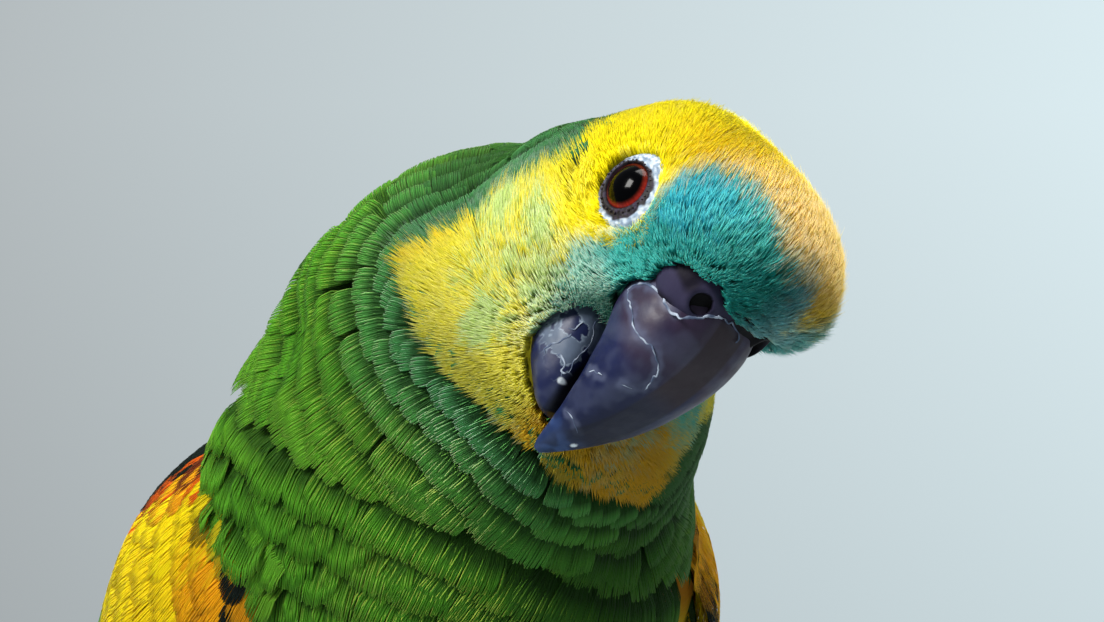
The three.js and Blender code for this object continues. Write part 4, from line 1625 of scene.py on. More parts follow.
    def horn(self, local: Array, lower: bool, gap: Array | None = None) -> Array:
        """Colours of the horn at places in the head's axes.

        Args:
            local: Places.
            lower: Whether it is the lower mandible.
            gap: Distance of the lower mandible's places from the upper one.

        Returns:
            One colour for each place.
        """
        navy, slate, plum, grey = tint("081238"), tint("171E42"), tint("35283A"), tint("4C526A")
        up, side, ahead = local[:, 2], np.abs(local[:, 1]), local[:, 0]
        drift = (cloud(local, 5.0, 31) - 0.5) * 9
        tone = mix(slate, navy, smooth(-up + drift, 13, 21)[:, None])
        tone = mix(tone, plum, (smooth(up + drift, -12, -5) * 0.85)[:, None])
        pale = smooth(cloud(local, 3.5, 12) * 0.75 + cloud(local, 1.2, 13) * 0.25, 0.5, 0.75)
        if lower:
            tone = mix(slate, grey, (0.5 * pale)[:, None])
            shape = cloud(local, 2.6, 61) * 0.7 + cloud(local, 0.7, 62) * 0.3
            flake = smooth(shape, 0.44, 0.5) * smooth(ahead, 6, 10) * (1 - smooth(ahead, 16, 18.5))
            flake = flake * smooth(up, -25, -22)
            tone = mix(tone, tint("626F82"), (flake * 0.75)[:, None])
            rim = 1 - smooth(np.abs(shape - 0.47), 0.01, 0.035)
            tone = mix(tone, tint("97A6B8"), (rim * 0.6 * smooth(up, -25, -22))[:, None])
            # Painted shade: near black where the lower mandible lies close under the upper one.
            tone = mix(tone, tint("020205"), (1 - smooth(gap + drift * 0.03, 1.5, 2.1))[:, None])
        else:
            near = self.near_lines(local, self.flake_lines) + (cloud(local, 0.8, 41) - 0.5) * 0.8
            edge = 1 - smooth(np.abs(up + 12 - (ahead - 17) * 0.9 + drift * 0.2), 0.5, 3.0)
            tone = mix(tone, grey, (np.maximum(pale * 0.3, edge * 0.35))[:, None])
            tone = mix(tone, grey * 1.3, ((1 - smooth(near, 0.2, 1.3)) * 0.55)[:, None])
            ridge = smooth(-side, -3.3, -2.7) * smooth(ahead, 21, 23) * smooth(up, -15, -9)
            tone = mix(tone, tint("26171F"), (ridge * 0.9)[:, None])
            ridge = smooth(-side, -3.3, -2.7) * smooth(ahead, 21, 23) * (1 - smooth(up, -15, -9))
            tone = mix(tone, tint("080B20"), (ridge * 0.7)[:, None])
            worn = smooth(-up, 24, 30) * mix(0.4, 1.0, smooth(cloud(local, 1.6, 47), 0.4, 0.7))
            tone = mix(tone, tint("3B5488"), (worn * 0.7)[:, None])
        for place in self.chips:
            chip = 1 - smooth(np.linalg.norm(local - np.array(place), axis=1), 0.35, 0.65)
            tone = mix(tone, tint("DCE3EA"), chip[:, None])
        return tone

    def ridges(self, name: str, lines: tuple, under: bpy.types.Object) -> bpy.types.Object:
        """The raised pale edges of flaking horn.

        Args:
            name: The piece's name.
            lines: Half widths and places of the edges.
            under: The mandible that they lie on.

        Returns:
            The edges as one piece.
        """
        bvh = BVHTree.FromObject(under, bpy.context.evaluated_depsgraph_get())
        points, faces, start = [], [], 0
        for number, (half, line) in enumerate(lines):
            path = through(np.array(line), len(line) * 9)
            wander = np.stack([cloud(path + i * 37, 0.9, 111) - 0.5 for i in range(3)], -1) * 0.7
            path = self.head.out(path + wander)
            found = [bvh.find_nearest(Vector(p * MM)) for p in path]
            surface = np.array([f[0] for f in found]) / MM
            ups = unit(np.array([f[1] for f in found]))
            off = dot(path - surface, ups)
            path = surface + ups * np.clip(off, 0, 1.4)
            wide = half * mix(0.35, 1.35, cloud(path, 0.8, 113 + number))
            steps = np.arange(len(path))
            wide = wide * np.minimum(1, np.minimum(steps, steps[::-1]) / 4 + 0.15)
            way = unit(np.gradient(path, axis=0))
            across = unit(np.cross(way, ups))
            turn = np.linspace(0, 2 * np.pi, 8, endpoint=False)[None, :, None]
            rings = path[:, None] + wide[:, None, None] * (
                across[:, None] * np.cos(turn) * 1.2 + ups[:, None] * np.sin(turn) * 0.55
            )
            own, sides = closed_tube(rings, start)
            points.append(own)
            faces += sides
            start += len(own)
        points = np.vstack(points)
        tone = mix(tint("4E5A74"), tint("A9B4C6"), smooth(cloud(points, 1.0, 121), 0.35, 0.75)[:, None])
        piece = outwards(make_mesh(name, points, faces, tone))
        finish_piece(piece, HornFinish("flaked horn", roughness=0.6, coat=0.0), Slot.BILL)
        return piece

    def relief(self, rings: Array, depth: float) -> Array:
        """Rings with the small unevenness of worn horn.

        Args:
            rings: The rings' points.
            depth: Depth of the unevenness in millimetres.

        Returns:
            The moved rings.
        """
        flat = rings.reshape(-1, 3)
        bump = (cloud(flat, 3.2, 81) - 0.5) * 0.35 + (cloud(flat, 1.1, 82) - 0.5) * 0.12
        middle = rings.mean(1, keepdims=True)
        out = unit(rings - middle).reshape(-1, 3)
        return (flat + out * (bump * depth)[:, None]).reshape(rings.shape)

    def build(self) -> None:
        """Makes both mandibles."""
        shapes = ((self.upper_marks, (0.85, 0.4), 0.93), (self.lower_marks, (0.35, 0.75), 1.1))
        made = []
        for name, (marks, squares, facet) in zip(("upper_mandible", "lower_mandible"), shapes):
            rings = self.relief(self.mandible(marks, *squares, 150, 168, facet), 0.7)
            points, faces = closed_tube(rings)
            made.append(outwards(make_mesh(name, self.head.out(points), faces)))
        self.upper, self.lower = made
        bvh = BVHTree.FromObject(self.upper, bpy.context.evaluated_depsgraph_get())
        points = mesh_points(self.lower.data)
        gap = np.array([bvh.find_nearest(Vector(p * MM))[3] for p in points]) / MM
        groove = (1 - smooth(gap, 1.0, 2.2)) * 1.3
        local = self.head.local(points)
        middle = np.stack([local[:, 0], 0 * gap, local[:, 2] * 0.5 - 11], -1)
        inward = unit(self.head.out(middle) - points)
        tones = self.horn(local, True, gap)
        move_points(self.lower.data, points + inward * groove[:, None])
        paint(self.lower.data, tones)
        paint(self.upper.data, self.horn(self.head.local(mesh_points(self.upper.data)), False))

    def dress(self) -> None:
        """Gives both mandibles their finish and their flaked edges."""
        self.ridges("upper_flakes", self.flake_lines, self.upper)
        self.ridges("lower_flakes", self.lower_lines, self.lower)
        horn = HornFinish("dark horn")
        finish_piece(self.upper, horn, Slot.BILL, "bill_upper")
        finish_piece(self.lower, horn, Slot.BILL, "bill_lower")


@dataclass
class Cere:
    """The bare swollen skin over the bill's root, with the nostrils in it."""

    head: HeadAxes
    lobes: tuple = (  # centre and half sizes as ahead, left, up
        ((16.6, 5.3, 1.6), (5.4, 5.4, 6.2)),
        ((16.4, -6.0, 2.2), (5.9, 6.1, 6.3)),
        ((18.0, 0, 4.2), (4.4, 5.5, 4.2)),
    )
    nostril: tuple[float, float, float] = (21.4, 7.6, 2.6)
    nostril_way: tuple[float, float, float] = (0.75, 0.55, 0.36)
    nostril_radius: float = 1.85
    piece: bpy.types.Object | None = None

    def field(self, local: Array) -> Array:
        """Distance out of the cere, in the head's axes.

        Args:
            local: Places in the head's axes.

        Returns:
            Distances, negative inside.
        """
        low = np.full(len(local), 1e6)
        for centre, half in self.lobes:
            low = soft_low(low, oval(local - np.array(centre), np.array(half)), 2.5)
        return low

    def off_nostril(self, local: Array, side: int) -> tuple[Array, Array]:
        """Distance of points from a nostril's line, and the nostril's outward way.

        Args:
            local: Places in the head's axes.
            side: 1 for the left nostril and -1 for the right.

        Returns:
            The distances, and one unit direction.
        """
        way = unit(np.array(self.nostril_way) * [1, side, 1])
        off = local - np.array(self.nostril) * [1, side, 1]
        return np.linalg.norm(off - (off @ way)[:, None] * way, axis=1), way

    def build(self) -> bpy.types.Object:
        """Makes the cere.

        Returns:
            The cere.
        """
        parts = [ball_part(np.array(c, float), np.array(h) + 0.4, 40, 28) for c, h in self.lobes]
        piece = fused("cere_skin", [(self.head.out(p), f) for p, f in parts], 0.22, 1)
        local = self.head.local(mesh_points(piece.data))
        for _ in range(6):
            here = self.field(local)
            grad = np.stack([self.field(local + 0.1 * a) - here for a in np.eye(3)], -1) / 0.1
            steep = np.maximum((grad**2).sum(1), 0.3)
            local = local - grad * np.clip(here / steep, -0.5, 0.5)[:, None]
        local = local + unit(grad) * ((cloud(local, 1.8, 91) - 0.5) * 0.14)[:, None]
        tone = mix(tint("1A1624"), tint("3A3650"), smooth(cloud(local, 3.0, 93), 0.35, 0.75)[:, None])
        # Painted shade: the cere is darker towards the bird's left, over the left lobe and the hollow beside
        # the ridge, which lie in shade.
        tone = tone * mix(0.8, 0.15, smooth(local[:, 1], -3.0, 0.5))[:, None]
        for side in (1, -1):
            across, way = self.off_nostril(local, side)
            front = (local[:, 0] > 15) & (local[:, 1] * side > 0)
            inside = np.where(front, 1 - smooth(across, self.nostril_radius - 0.35, self.nostril_radius), 0)
            rim = np.where(front, np.exp(-(((across - 2.3) / 0.7) ** 2)), 0)
            local = local + way * (rim * 0.4 - inside * 1.1)[:, None]
            # Painted shade: the nostril's shallow pit is painted near black, as the dark of its opening.
            tone = mix(tone, tint("020103"), smooth(inside, 0.02, 0.3)[:, None])
        move_points(piece.data, self.head.out(local))
        paint(piece.data, tone)
        self.piece = piece
        return piece

    def dress(self) -> None:
        """Gives the cere its finish."""
        finish = SkinFinish("cere skin", grain=1500.0, relief=0.00002, roughness=0.6, shine=0.1)
        finish_piece(self.piece, finish, Slot.CERE, "cere")


# ---- Eyes ---------------------------------------------------------------------------------------


@dataclass
class Studs:
    """Small raised beads or plates set in rows, made with geometry nodes."""

    name: str
    centres: Array
    outs: Array
    alongs: Array
    sizes: Array
    rings: int = 5
    segments: int = 8

    def tree(self, material: bpy.types.Material) -> bpy.types.NodeTree:
        """The node tree that sets one bead on each point.

        Args:
            material: The beads' material.

        Returns:
            The tree, with the inputs Geometry, Segments and Rings.
        """
        tree = bpy.data.node_groups.new(self.name + "_tree", "GeometryNodeTree")
        face = tree.interface
        face.new_socket("Geometry", in_out="INPUT", socket_type="NodeSocketGeometry")
        face.new_socket("Segments", in_out="INPUT", socket_type="NodeSocketInt")
        face.new_socket("Rings", in_out="INPUT", socket_type="NodeSocketInt")
        face.new_socket("Geometry", in_out="OUTPUT", socket_type="NodeSocketGeometry")
        new, join = tree.nodes.new, tree.links.new
        start, end = new("NodeGroupInput"), new("NodeGroupOutput")
        bead = new("GeometryNodeMeshUVSphere")
        bead.inputs["Radius"].default_value = MM
        join(start.outputs["Segments"], bead.inputs["Segments"])
        join(start.outputs["Rings"], bead.inputs["Rings"])
        turn, size = new("GeometryNodeInputNamedAttribute"), new("GeometryNodeInputNamedAttribute")
        for node, name in ((turn, "turn"), (size, "size")):
            node.data_type = "FLOAT_VECTOR"
            node.inputs["Name"].default_value = name
        spin = new("FunctionNodeEulerToRotation")
        join(turn.outputs["Attribute"], spin.inputs[0])
        put = new("GeometryNodeInstanceOnPoints")
        join(start.outputs["Geometry"], put.inputs["Points"])
        join(bead.outputs["Mesh"], put.inputs["Instance"])
        join(spin.outputs[0], put.inputs["Rotation"])
        join(size.outputs["Attribute"], put.inputs["Scale"])
        real, dress = new("GeometryNodeRealizeInstances"), new("GeometryNodeSetMaterial")
        smooth_faces = new("GeometryNodeSetShadeSmooth")
        dress.inputs["Material"].default_value = material
        join(put.outputs["Instances"], real.inputs["Geometry"])
        join(real.outputs["Geometry"], smooth_faces.inputs["Geometry"])
        join(smooth_faces.outputs["Geometry"], dress.inputs["Geometry"])
        join(dress.outputs["Geometry"], end.inputs["Geometry"])
        return tree

    def build(self, material: bpy.types.Material) -> bpy.types.Object:
        """Makes the beads as one plain mesh.

        Args:
            material: The beads' material.

        Returns:
            The beads.
        """
        mesh = bpy.data.meshes.new(self.name)
        mesh.from_pydata([tuple(p) for p in self.centres * MM], [], [])
        sides = unit(np.cross(self.outs, self.alongs))
        turns = np.stack([sides, np.cross(sides, self.outs), self.outs], -1)
        eulers = [tuple(Matrix(turn.tolist()).to_euler()) for turn in turns]
        for name, values in (("turn", np.array(eulers)), ("size", self.sizes)):
            layer = mesh.attributes.new(name, "FLOAT_VECTOR", "POINT")
            layer.data.foreach_set("vector", np.asarray(values, np.float32).ravel())
        live = in_scene(self.name, mesh)
        tree = self.tree(material)
        modifier = live.modifiers.new("Beads", "NODES")
        modifier.node_group = tree
        wanted = {"Segments": self.segments, "Rings": self.rings}
        for item in tree.interface.items_tree:
            if item.in_out == "INPUT" and item.name in wanted:
                modifier[item.identifier] = wanted[item.name]
        made = settled(self.name, live)
        bpy.data.node_groups.remove(tree)
        return made


@dataclass
class Eye:
    """One eye: the ball with its iris, the lids and the bare ring of skin round them."""

    head: HeadAxes
    side: int
    radius: float = 6.2
    reach: float = 10.7
    ahead: float = EYE_AHEAD
    up: float = EYE_UP
    pupil: float = 2.85
    iris: float = 3.75
    # The lid's section, as distance from the eye's line and out from the head's middle.
    lid_profile: tuple = ((3.72, 15.3), (3.76, 15.72), (3.92, 15.98), (4.14, 16.08), (4.4, 16.02),
                          (4.7, 15.9), (5.0, 15.9), (5.4, 15.95), (5.8, 15.8), (6.3, 15.3), (7.0, 14.4))
    lid_thickness: float = 1.4
    # How far the bare ring's outer edge lies ahead of the eye's line and over it.
    ring_shift: tuple[float, float] = (1.15, 0.3)
    beads: int = 34
    bead_ring: float = 4.4
    bead_out: float = 15.98
    pieces: list[bpy.types.Object] = field(default_factory=list)

    @property
    def hand(self) -> str:
        """left or right."""
        return "left" if self.side > 0 else "right"

    def out(self, across: Array, up: Array, deep: Array) -> Array:
        """Places in the frame from the eye's own axes: across ahead, up, and out to the side.

        Args:
            across: Millimetres ahead of the eye's middle.
            up: Millimetres over it.
            deep: Millimetres out from the head's middle.

        Returns:
            The places, shape (n, 3).
        """
        local = np.stack(
            np.broadcast_arrays(self.ahead + across, self.side * deep, self.up + up), -1
        )
        return self.head.out(local.reshape(-1, 3)).reshape(local.shape)

    def ball(self) -> bpy.types.Object:
        """The eye's ball, with rings that follow the edges of the pupil and the iris.

        Returns:
            The ball.
        """
        radii = np.concatenate([
            np.linspace(0.02, 1, 9)[:-1] * self.pupil, self.pupil + np.array([-0.08, 0.0, 0.08]),
            np.linspace(self.pupil + 0.2, self.iris, 9), self.iris + np.array([0.1, 0.25, 0.5]),
            np.linspace(4.5, 6.1, 6),
        ])
        r, way = np.meshgrid(radii, np.linspace(0, 2 * np.pi, 96, endpoint=False), indexing="ij")
        bulge = 0.35 * (1 - smooth(r, 1.5, 4.2))
        deep = self.reach + np.sqrt(np.maximum(self.radius**2 - r**2, 0.01)) + bulge
        points, faces = closed_tube(self.out(r * np.cos(way), r * np.sin(way), deep))
        r, way = r.reshape(-1), way.reshape(-1)
        rays = 0.5 + 0.5 * np.sin(way * 31 + np.sin(way * 7) * 2) * np.sin(way * 13 + 1)
        low = smooth(np.cos(way), -0.3, 0.9)[:, None]
        share = smooth((r - self.pupil) / (self.iris - self.pupil), 0.1, 0.8)[:, None]
        tone = mix(tint("1E0905"), mix(tint("5A200E"), tint("8E241C"), low), share)
        tone = tone * (0.6 + 0.6 * rays[:, None])
        wide = self.pupil + 0.25 * (1 - low[:, 0])
        tone = mix(tint("010102"), tone, smooth(r - wide, 0, 0.16)[:, None])
        tone = mix(tone, tint("0E080B"), smooth(r, self.iris - 0.2, self.iris + 0.1)[:, None])
        tones = np.vstack([tone, tone[:1], tone[-1:]])
        piece = outwards(make_mesh(f"eyeball_{self.hand}", points, faces, tones))
        finish_piece(piece, EyeFinish("wet eye"), Slot.EYE, f"eye_{self.hand}")
        return piece

    def lid(self) -> bpy.types.Object:
        """The dark lid margin and the pale wrinkled ring of bare skin round it.

        Returns:
            The lid.
        """
        profile = through(np.array(self.lid_profile), 44)
        turn = np.linspace(0, 2 * np.pi, 160, endpoint=False)
        r, a = np.meshgrid(profile[:, 0], turn, indexing="ij")
        deep = np.repeat(profile[:, 1:], len(turn), axis=1)
        shift = smooth(r, 3.8, 6.2)
        x, y = r * np.cos(a) + self.ring_shift[0] * shift, r * np.sin(a) + self.ring_shift[1] * shift
        flat = np.stack([x, y, deep], -1).reshape(-1, 3)
        fold = (cloud(flat * [1, 1, 0.3], 0.7, 101) - 0.5) * 0.3 + (cloud(flat, 0.3, 102) - 0.5) * 0.14
        deep = deep + fold.reshape(deep.shape) * smooth(r, 4.0, 4.8)
        upper = self.out(x, y, deep)
        lower = self.out(x, y, deep - self.lid_thickness * (1 - smooth(r, 6.6, 7.4)) - 0.05)
        rings = np.concatenate([upper, lower[::-1]], 0)
        count, sides = rings.shape[:2]
        s = np.arange(sides)
        last = (count - 1) * sides
        close = np.stack([last + s, last + (s + 1) % sides, (s + 1) % sides, s], -1)
        edge = 4.7 + 0.5 * np.cos(a + 0.5) + (cloud(flat, 0.8, 105).reshape(a.shape) - 0.5) * 0.9
        spots = cloud(flat, 0.45, 104).reshape(a.shape)[..., None]
        tone = mix(tint("120C14"), tint("2A2238"), smooth(spots, 0.45, 0.75))
        pale = mix(tint("7F92A8"), tint("BCC9D6"), smooth(spots, 0.3, 0.7))
        pale = mix(pale, tint("2A2238"), smooth(np.cos(a - 3.8), 0.35, 0.9)[..., None] * 0.85)
        tone = mix(tone, pale, smooth(r - edge, -0.2, 0.25)[..., None])
        tones = np.concatenate([tone, tone[::-1]], 0).reshape(-1, 3)
        faces = [ring_faces(count, sides), close]
        piece = outwards(make_mesh(f"eyelid_{self.hand}", rings.reshape(-1, 3), faces, tones))
        finish_piece(piece, SkinFinish("lid skin", grain=2600.0, relief=0.00005, roughness=0.6), Slot.HEAD)
        return piece

    def papillae(self) -> bpy.types.Object:
        """The beads of skin along the lid's edge.

        Returns:
            The beads.
        """
        rng = np.random.default_rng(11)
        count = self.beads
        turn = np.linspace(0, 2 * np.pi, count, endpoint=False) + rng.normal(0, 0.03, count)
        r = self.bead_ring + rng.normal(0, 0.12, count) + 0.25 * np.cos(turn + 0.5)
        centres = self.out(r * np.cos(turn), r * np.sin(turn), np.full(count, self.bead_out))
        outs = np.repeat(self.head.swing(np.array([[0, float(self.side), 0]])), count, 0)
        radial = self.head.swing(np.stack([np.cos(turn), 0 * turn, np.sin(turn)], -1))
        sizes = np.stack([rng.uniform(0.16, 0.26, count), rng.uniform(0.2, 0.36, count),
                          rng.uniform(0.14, 0.26, count)], -1)
        finish = SkinFinish("lid beads", grain=2600.0, relief=0.00003, roughness=0.45)
        piece = Studs(f"lid_beads_{self.hand}", centres, outs, radial, sizes).build(material_of(finish))
        paint(piece.data, np.repeat(tint("231822")[None], len(piece.data.vertices), 0))
        finish_piece(piece, finish, Slot.HEAD)
        return piece

    def build(self) -> None:
        """Makes the whole eye."""
        self.pieces = [self.ball(), self.lid(), self.papillae()]


# ---- Coat of the head and the body --------------------------------------------------------------


@dataclass
class Coat:
    """The soft plumage of the head, the neck, the body and the thighs."""

    form: BodyForm
    markings: Markings
    flow: Flow
    hard: list[bpy.types.Object]
    cere: "Cere"
    tuft_gap: float = 1.0
    eye_ring: tuple[float, float, float] = (1.8, 0.55, 5.35)
    lowest: float = 31.0
    # Rows run round the hood above the collar's tilted plane, and down the body from it.
    collar_plane: tuple[float, float, float] = (0.441, -0.119, 1.0)
    collar_level: float = 144.0
    # How far from the head's middle the hood's tufts are sought, and how many tries a square gets.
    hood_reach: float = 62.0
    tries: int = 24
    # Where the nape's lowest feathers stand up, and where they are short, in the head's axes.
    raised_at: tuple[float, float, float] = (-26, -8, -58)
    trimmed_at: tuple[float, float, float] = (-25, -8, -60)
    # Ranges of the gap between rows, and how many barbs the feathers there have.
    kinds: tuple = ((0, 2.3, 12), (2.3, 3.2, 18), (3.2, 4.2, 24), (4.2, 5.4, 32), (5.4, 6.9, 38),
                    (6.9, 9, 23))
    collar_width: float = 6.0
    collar_rows: tuple = ((0, 3, 8, 14, 30), (2.0, 2.6, 4.0, 5.0, 6.0))
    mantle_rows: tuple = ((0, 6, 15, 25, 120), (4.6, 5.4, 6.2, 6.6, 7.8))
    ranks: list[Plumes] = field(default_factory=list)
    tufts: list[Plumes] = field(default_factory=list)

    def hard_distance(self, points: Array) -> tuple[Array, Array]:
        """Distance from each point to the bill and the cere, and the way away from them.

        Args:
            points: Places in the frame.

        Returns:
            Distances, negative inside, and unit directions, shape (n, 3).
        """
        low = np.full(len(points), FAR)
        away = np.zeros((len(points), 3))
        near = np.linalg.norm(points - self.form.head.out([[16, 0, -10]]), axis=1) < 48
        ray = Vector((0.31, 0.22, 0.92)).normalized()
        for item in self.hard:
            bvh = BVHTree.FromObject(item, bpy.context.evaluated_depsgraph_get())
            for i in np.where(near)[0]:
                place, _, _, gap = bvh.find_nearest(Vector(points[i] * MM))
                way = points[i] - np.array(place) / MM
                signed = gap / MM
                if signed < 14:
                    start, crossed = Vector(points[i] * MM), 0
                    for _ in range(8):
                        found = bvh.ray_cast(start, ray)[0]
                        if found is None:
                            break
                        crossed += 1
                        start = found + ray * 1e-5
                    signed = -signed if crossed % 2 else signed
                if signed < low[i]:
                    low[i] = signed
                    away[i] = way * (1 if signed > 0 else -1)
        return low, unit(away)

    def eye_gap(self, local: Array) -> Array:
        """Distance outside the bare ring round the nearer eye.

        Args:
            local: Places in the head's axes.

        Returns:
            Distances in millimetres, and FAR at the middle of the head.
        """
        ahead, up, radius = self.eye_ring
        gap = np.hypot(local[:, 0] - ahead, local[:, 2] - up) - radius
        return np.where(np.abs(local[:, 1]) > 8, gap, FAR)

    def wing_solids(self) -> list[tuple[BVHTree, Matrix]]:
        """The faces of both wings' solids, each with the turn into the solid's own axes.

        Returns:
            One pair for each wing.
        """
        solids = [bpy.data.objects["wing_" + hand] for hand in ("left", "right")]
        graph = bpy.context.evaluated_depsgraph_get()
        return [(BVHTree.FromObject(solid, graph), solid.matrix_world.inverted()) for solid in solids]

    def under_wing(self, points: Array, ups: Array) -> Array:
        """Whether places are covered by a wing.

        Args:
            points: Places in the frame.
            ups: Outward directions there.

        Returns:
            True for each place that a wing covers.
        """
        covered = np.zeros(len(points), bool)
        for bvh, back in self.wing_solids():
            for i in range(len(points)):
                start, way = back @ Vector(points[i] * MM), back.to_3x3() @ Vector(ups[i])
                covered[i] |= bvh.ray_cast(start, way.normalized(), 0.03)[0] is not None
        return covered

    def spread_points(self, gap_of: Callable[[Array], Array], seed: int) -> Array:
        """Evenly scattered places on the outline, in the region round the head.

        Args:
            gap_of: Gives the wanted gap at points, with 0 where none are wanted.
            seed: For the random numbers.

        Returns:
            Places in the frame.
        """
        rng = np.random.default_rng(seed)
        a, b, c = (self.flow.points[self.flow.tris[:, i]] for i in range(3))
        near = np.linalg.norm((a + b + c) / 3 - self.form.head.origin, axis=1) < self.hood_reach
        a, b, c = a[near], b[near], c[near]
        area = np.linalg.norm(np.cross(b - a, c - a), axis=1) / 2
        pick = rng.choice(len(area), int(area.sum() * self.tries), p=area / area.sum())
        u, v = rng.random((2, len(pick), 1))
        flip = (u + v) > 1
        u, v = np.where(flip, 1 - u, u), np.where(flip, 1 - v, v)
        found = a[pick] + u * (b[pick] - a[pick]) + v * (c[pick] - a[pick])
        gap = gap_of(found)
        found, gap = found[gap > 0], gap[gap > 0]
        level = np.round(np.log2(gap) * 4).astype(int)
        kept = []
        for value in np.unique(level):
            lot = found[level == value]
            cells = np.floor(lot / 2 ** (value / 4) + rng.random(3)).astype(np.int64)
            _, first = np.unique((cells * [73856093, 19349663, 83492791]).sum(1), return_index=True)
            kept.append(lot[first])
        return self.form.settle(np.vstack(kept), 0.0, 2)[0]

    def hood(self, bill_ways: Array) -> None:
        """The fine hair-like feathers of the hood.

        Args:
            bill_ways: The ways away from the bill at the skin's points.
        """
        rng = np.random.default_rng(23)

        def gap_of(points: Array) -> Array:
            """The gap between tufts, which is smallest by the cere."""
            local = self.form.head.local(points)
            near = 1 - smooth(np.linalg.norm(local - np.array([16, 0, 0]), axis=1), 12, 26)
            gap = mix(self.tuft_gap, self.tuft_gap * 0.84, near)
            return np.where(self.markings.hood(local, -2.2) > 0.4, gap, 0)

        points = self.spread_points(gap_of, 29)
        distance, away = self.hard_distance(points)
        local = self.form.head.local(points)
        eye = self.eye_gap(local)
        kept = np.where((distance > 0.25) & (eye > 0) & (self.cere.field(local) > 0.2))[0]
        kept = kept[np.argsort(local[kept, 1])]
        points, distance, away, local, eye = (v[kept] for v in (points, distance, away, local, eye))
        _, ups = self.form.settle(points, 0.0, 1)
        lies = bill_ways[self.flow.nearest(points)]
        lies = mix(lies, away, (1 - smooth(distance, 0.5, 5.0))[:, None] * 0.6)
        centre = self.form.head.out(np.stack([0 * eye + 1.6, np.sign(local[:, 1]) * 15.5, 0 * eye + 0.4], -1))
        out = unit(points - centre)
        pull = (1 - smooth(eye, 0.4, 5.0))[:, None]
        lies = lies - out * np.minimum(dot(lies, out), 0) * pull * 1.4 + out * 0.35 * pull
        lies = unit(lies + rng.normal(0, 0.05, lies.shape))
        lies = unit(lies - dot(lies, ups) * ups)
        fall, way = self.markings.bearings(local)
        fringe = smooth(local[:, 1], 5, 13) * (1 - smooth(np.abs(way), 60, 95))
        length = mix(3.6, 7.4, smooth(fall, 46, 96)) * (1 + 0.2 * fringe)
        near = mix(0.5, 1.0, np.maximum(smooth(distance, 0.3, 6), fringe))
        length = length * near * mix(0.45, 1.0, smooth(eye, 0, 5)) * rng.uniform(0.8, 1.2, len(points))
        loose = 0.1 + 0.34 * smooth(local[:, 2], 4, 12) + 0.05 * fringe
        stand = fringe * smooth(local[:, 1], 6, 11) * smooth(way, 10, 30) * (1 - smooth(fall, 54, 66))
        tips, bases = self.markings.face(points, points + lies * length[:, None] * 0.6, rng)
        turn = np.radians(way)
        patches = 0.5 + (fall / 180 * 0.48)[:, None] * np.stack([np.cos(turn), np.sin(turn)], -1)
        self.tufts.append(Plumes(
            points, lies, length, rng.uniform(0.85, 1.1, len(points)), tips, bases, patches, barbs=11,
            stations=(0.0, 0.55, 1.0), widths=(0.9, 1.0, 0.0), arch=(0.0, 0.6, 1.0), blunt=False,
            sunk=0.9, raised=0.3 + 2.2 * stand, rounding=0.2, camber=0.04, fullness=0.42, ridge=0.5,
            stray=0.14, bend=0.04, loose=loose, turn_in=(0.0, 0.45), root_spread=0.7,
        ))
        LOG.info("hood: %d tufts", len(points))

    def rows(self, values: Array, gaps: tuple, start: int) -> list[tuple[Array, float, float]]:
        """Rows of feathers along the level lines of a distance over the skin.

        Args:
            values: The distance at the skin's points.
            gaps: Distances, and the gap between rows at each.
            start: Number of the first row.

        Returns:
            The places in each row with their shares of it, the row's distance and the gap to the next.
        """
        rng = np.random.default_rng(41 + start)
        made, place, number = [], 0.3, start
        while place < values.max() - 2:
            gap = float(np.interp(place, *gaps))
            for line in self.flow.contour(values, place):
                ring = np.vstack([line, line[:1]])
                total = np.concatenate([[0], np.cumsum(np.linalg.norm(np.diff(ring, axis=0), axis=1))])
                count = max(int(total[-1] / (gap * 1.15)), 4)
                where = (np.arange(count) + 0.5 * (number % 2) + rng.normal(0, 0.1, count)) / count % 1.0
                spots = [np.interp(where * total[-1], total, ring[:, i]) for i in range(3)]
                made.append((np.stack([*spots, where], -1), place, gap))
            place += gap
            number += 1
        return made

    def body(self, hood_gap: Array, bill_ways: Array) -> None:
        """Rows of rounded feathers over the neck and the body.

        Args:
            hood_gap: Distance of the skin's points from the hood.
            bill_ways: The ways away from the bill at the skin's points.
        """
        rng = np.random.default_rng(37)
        above = self.flow.points @ np.array(self.collar_plane) > self.collar_level
        collar_gap = self.flow.spread((hood_gap < self.collar_width) | above)
        collar = self.rows(hood_gap, self.collar_rows, 0)
        mantle = self.rows(collar_gap, self.mantle_rows, 1)
        spots = np.vstack([row[0] for row in collar + mantle])
        counts = [len(row[0]) for row in collar + mantle]
        gaps = np.repeat([row[2] for row in collar + mantle], counts)
        places = np.repeat([row[1] for row in collar + mantle], counts)
        lower = np.repeat([0.0] * len(collar) + [1.0] * len(mantle), counts)
        points = spots[:, :3] + rng.normal(0, 0.03, (len(spots), 3)) * gaps[:, None]
        points, ups = self.form.settle(points, 0.0, 3)
        near = self.flow.nearest(points)
        keep = (points[:, 2] > self.lowest) & ~self.under_wing(points, ups)
        keep = keep & ((lower > 0) | (collar_gap[near] < 0.6))
        high = hood_gap.max() + collar_gap.max()
        rank = (places + lower * hood_gap.max()) / high
        patches = 0.01 + 0.98 * np.stack([spots[:, 3], rank], -1)[keep]
        points, gaps, places, ups, near, lower = (v[keep] for v in (points, gaps, places, ups, near, lower))
        lies = mix(bill_ways[near], self.flow.ways(hood_gap)[near], smooth(hood_gap[near], 0, 9)[:, None])
        turned = (smooth(collar_gap[near], 0, 7) * lower)[:, None]
        lies = mix(lies, self.flow.ways(collar_gap)[near], turned)
        lies = unit(lies + rng.normal(0, 0.04, lies.shape))
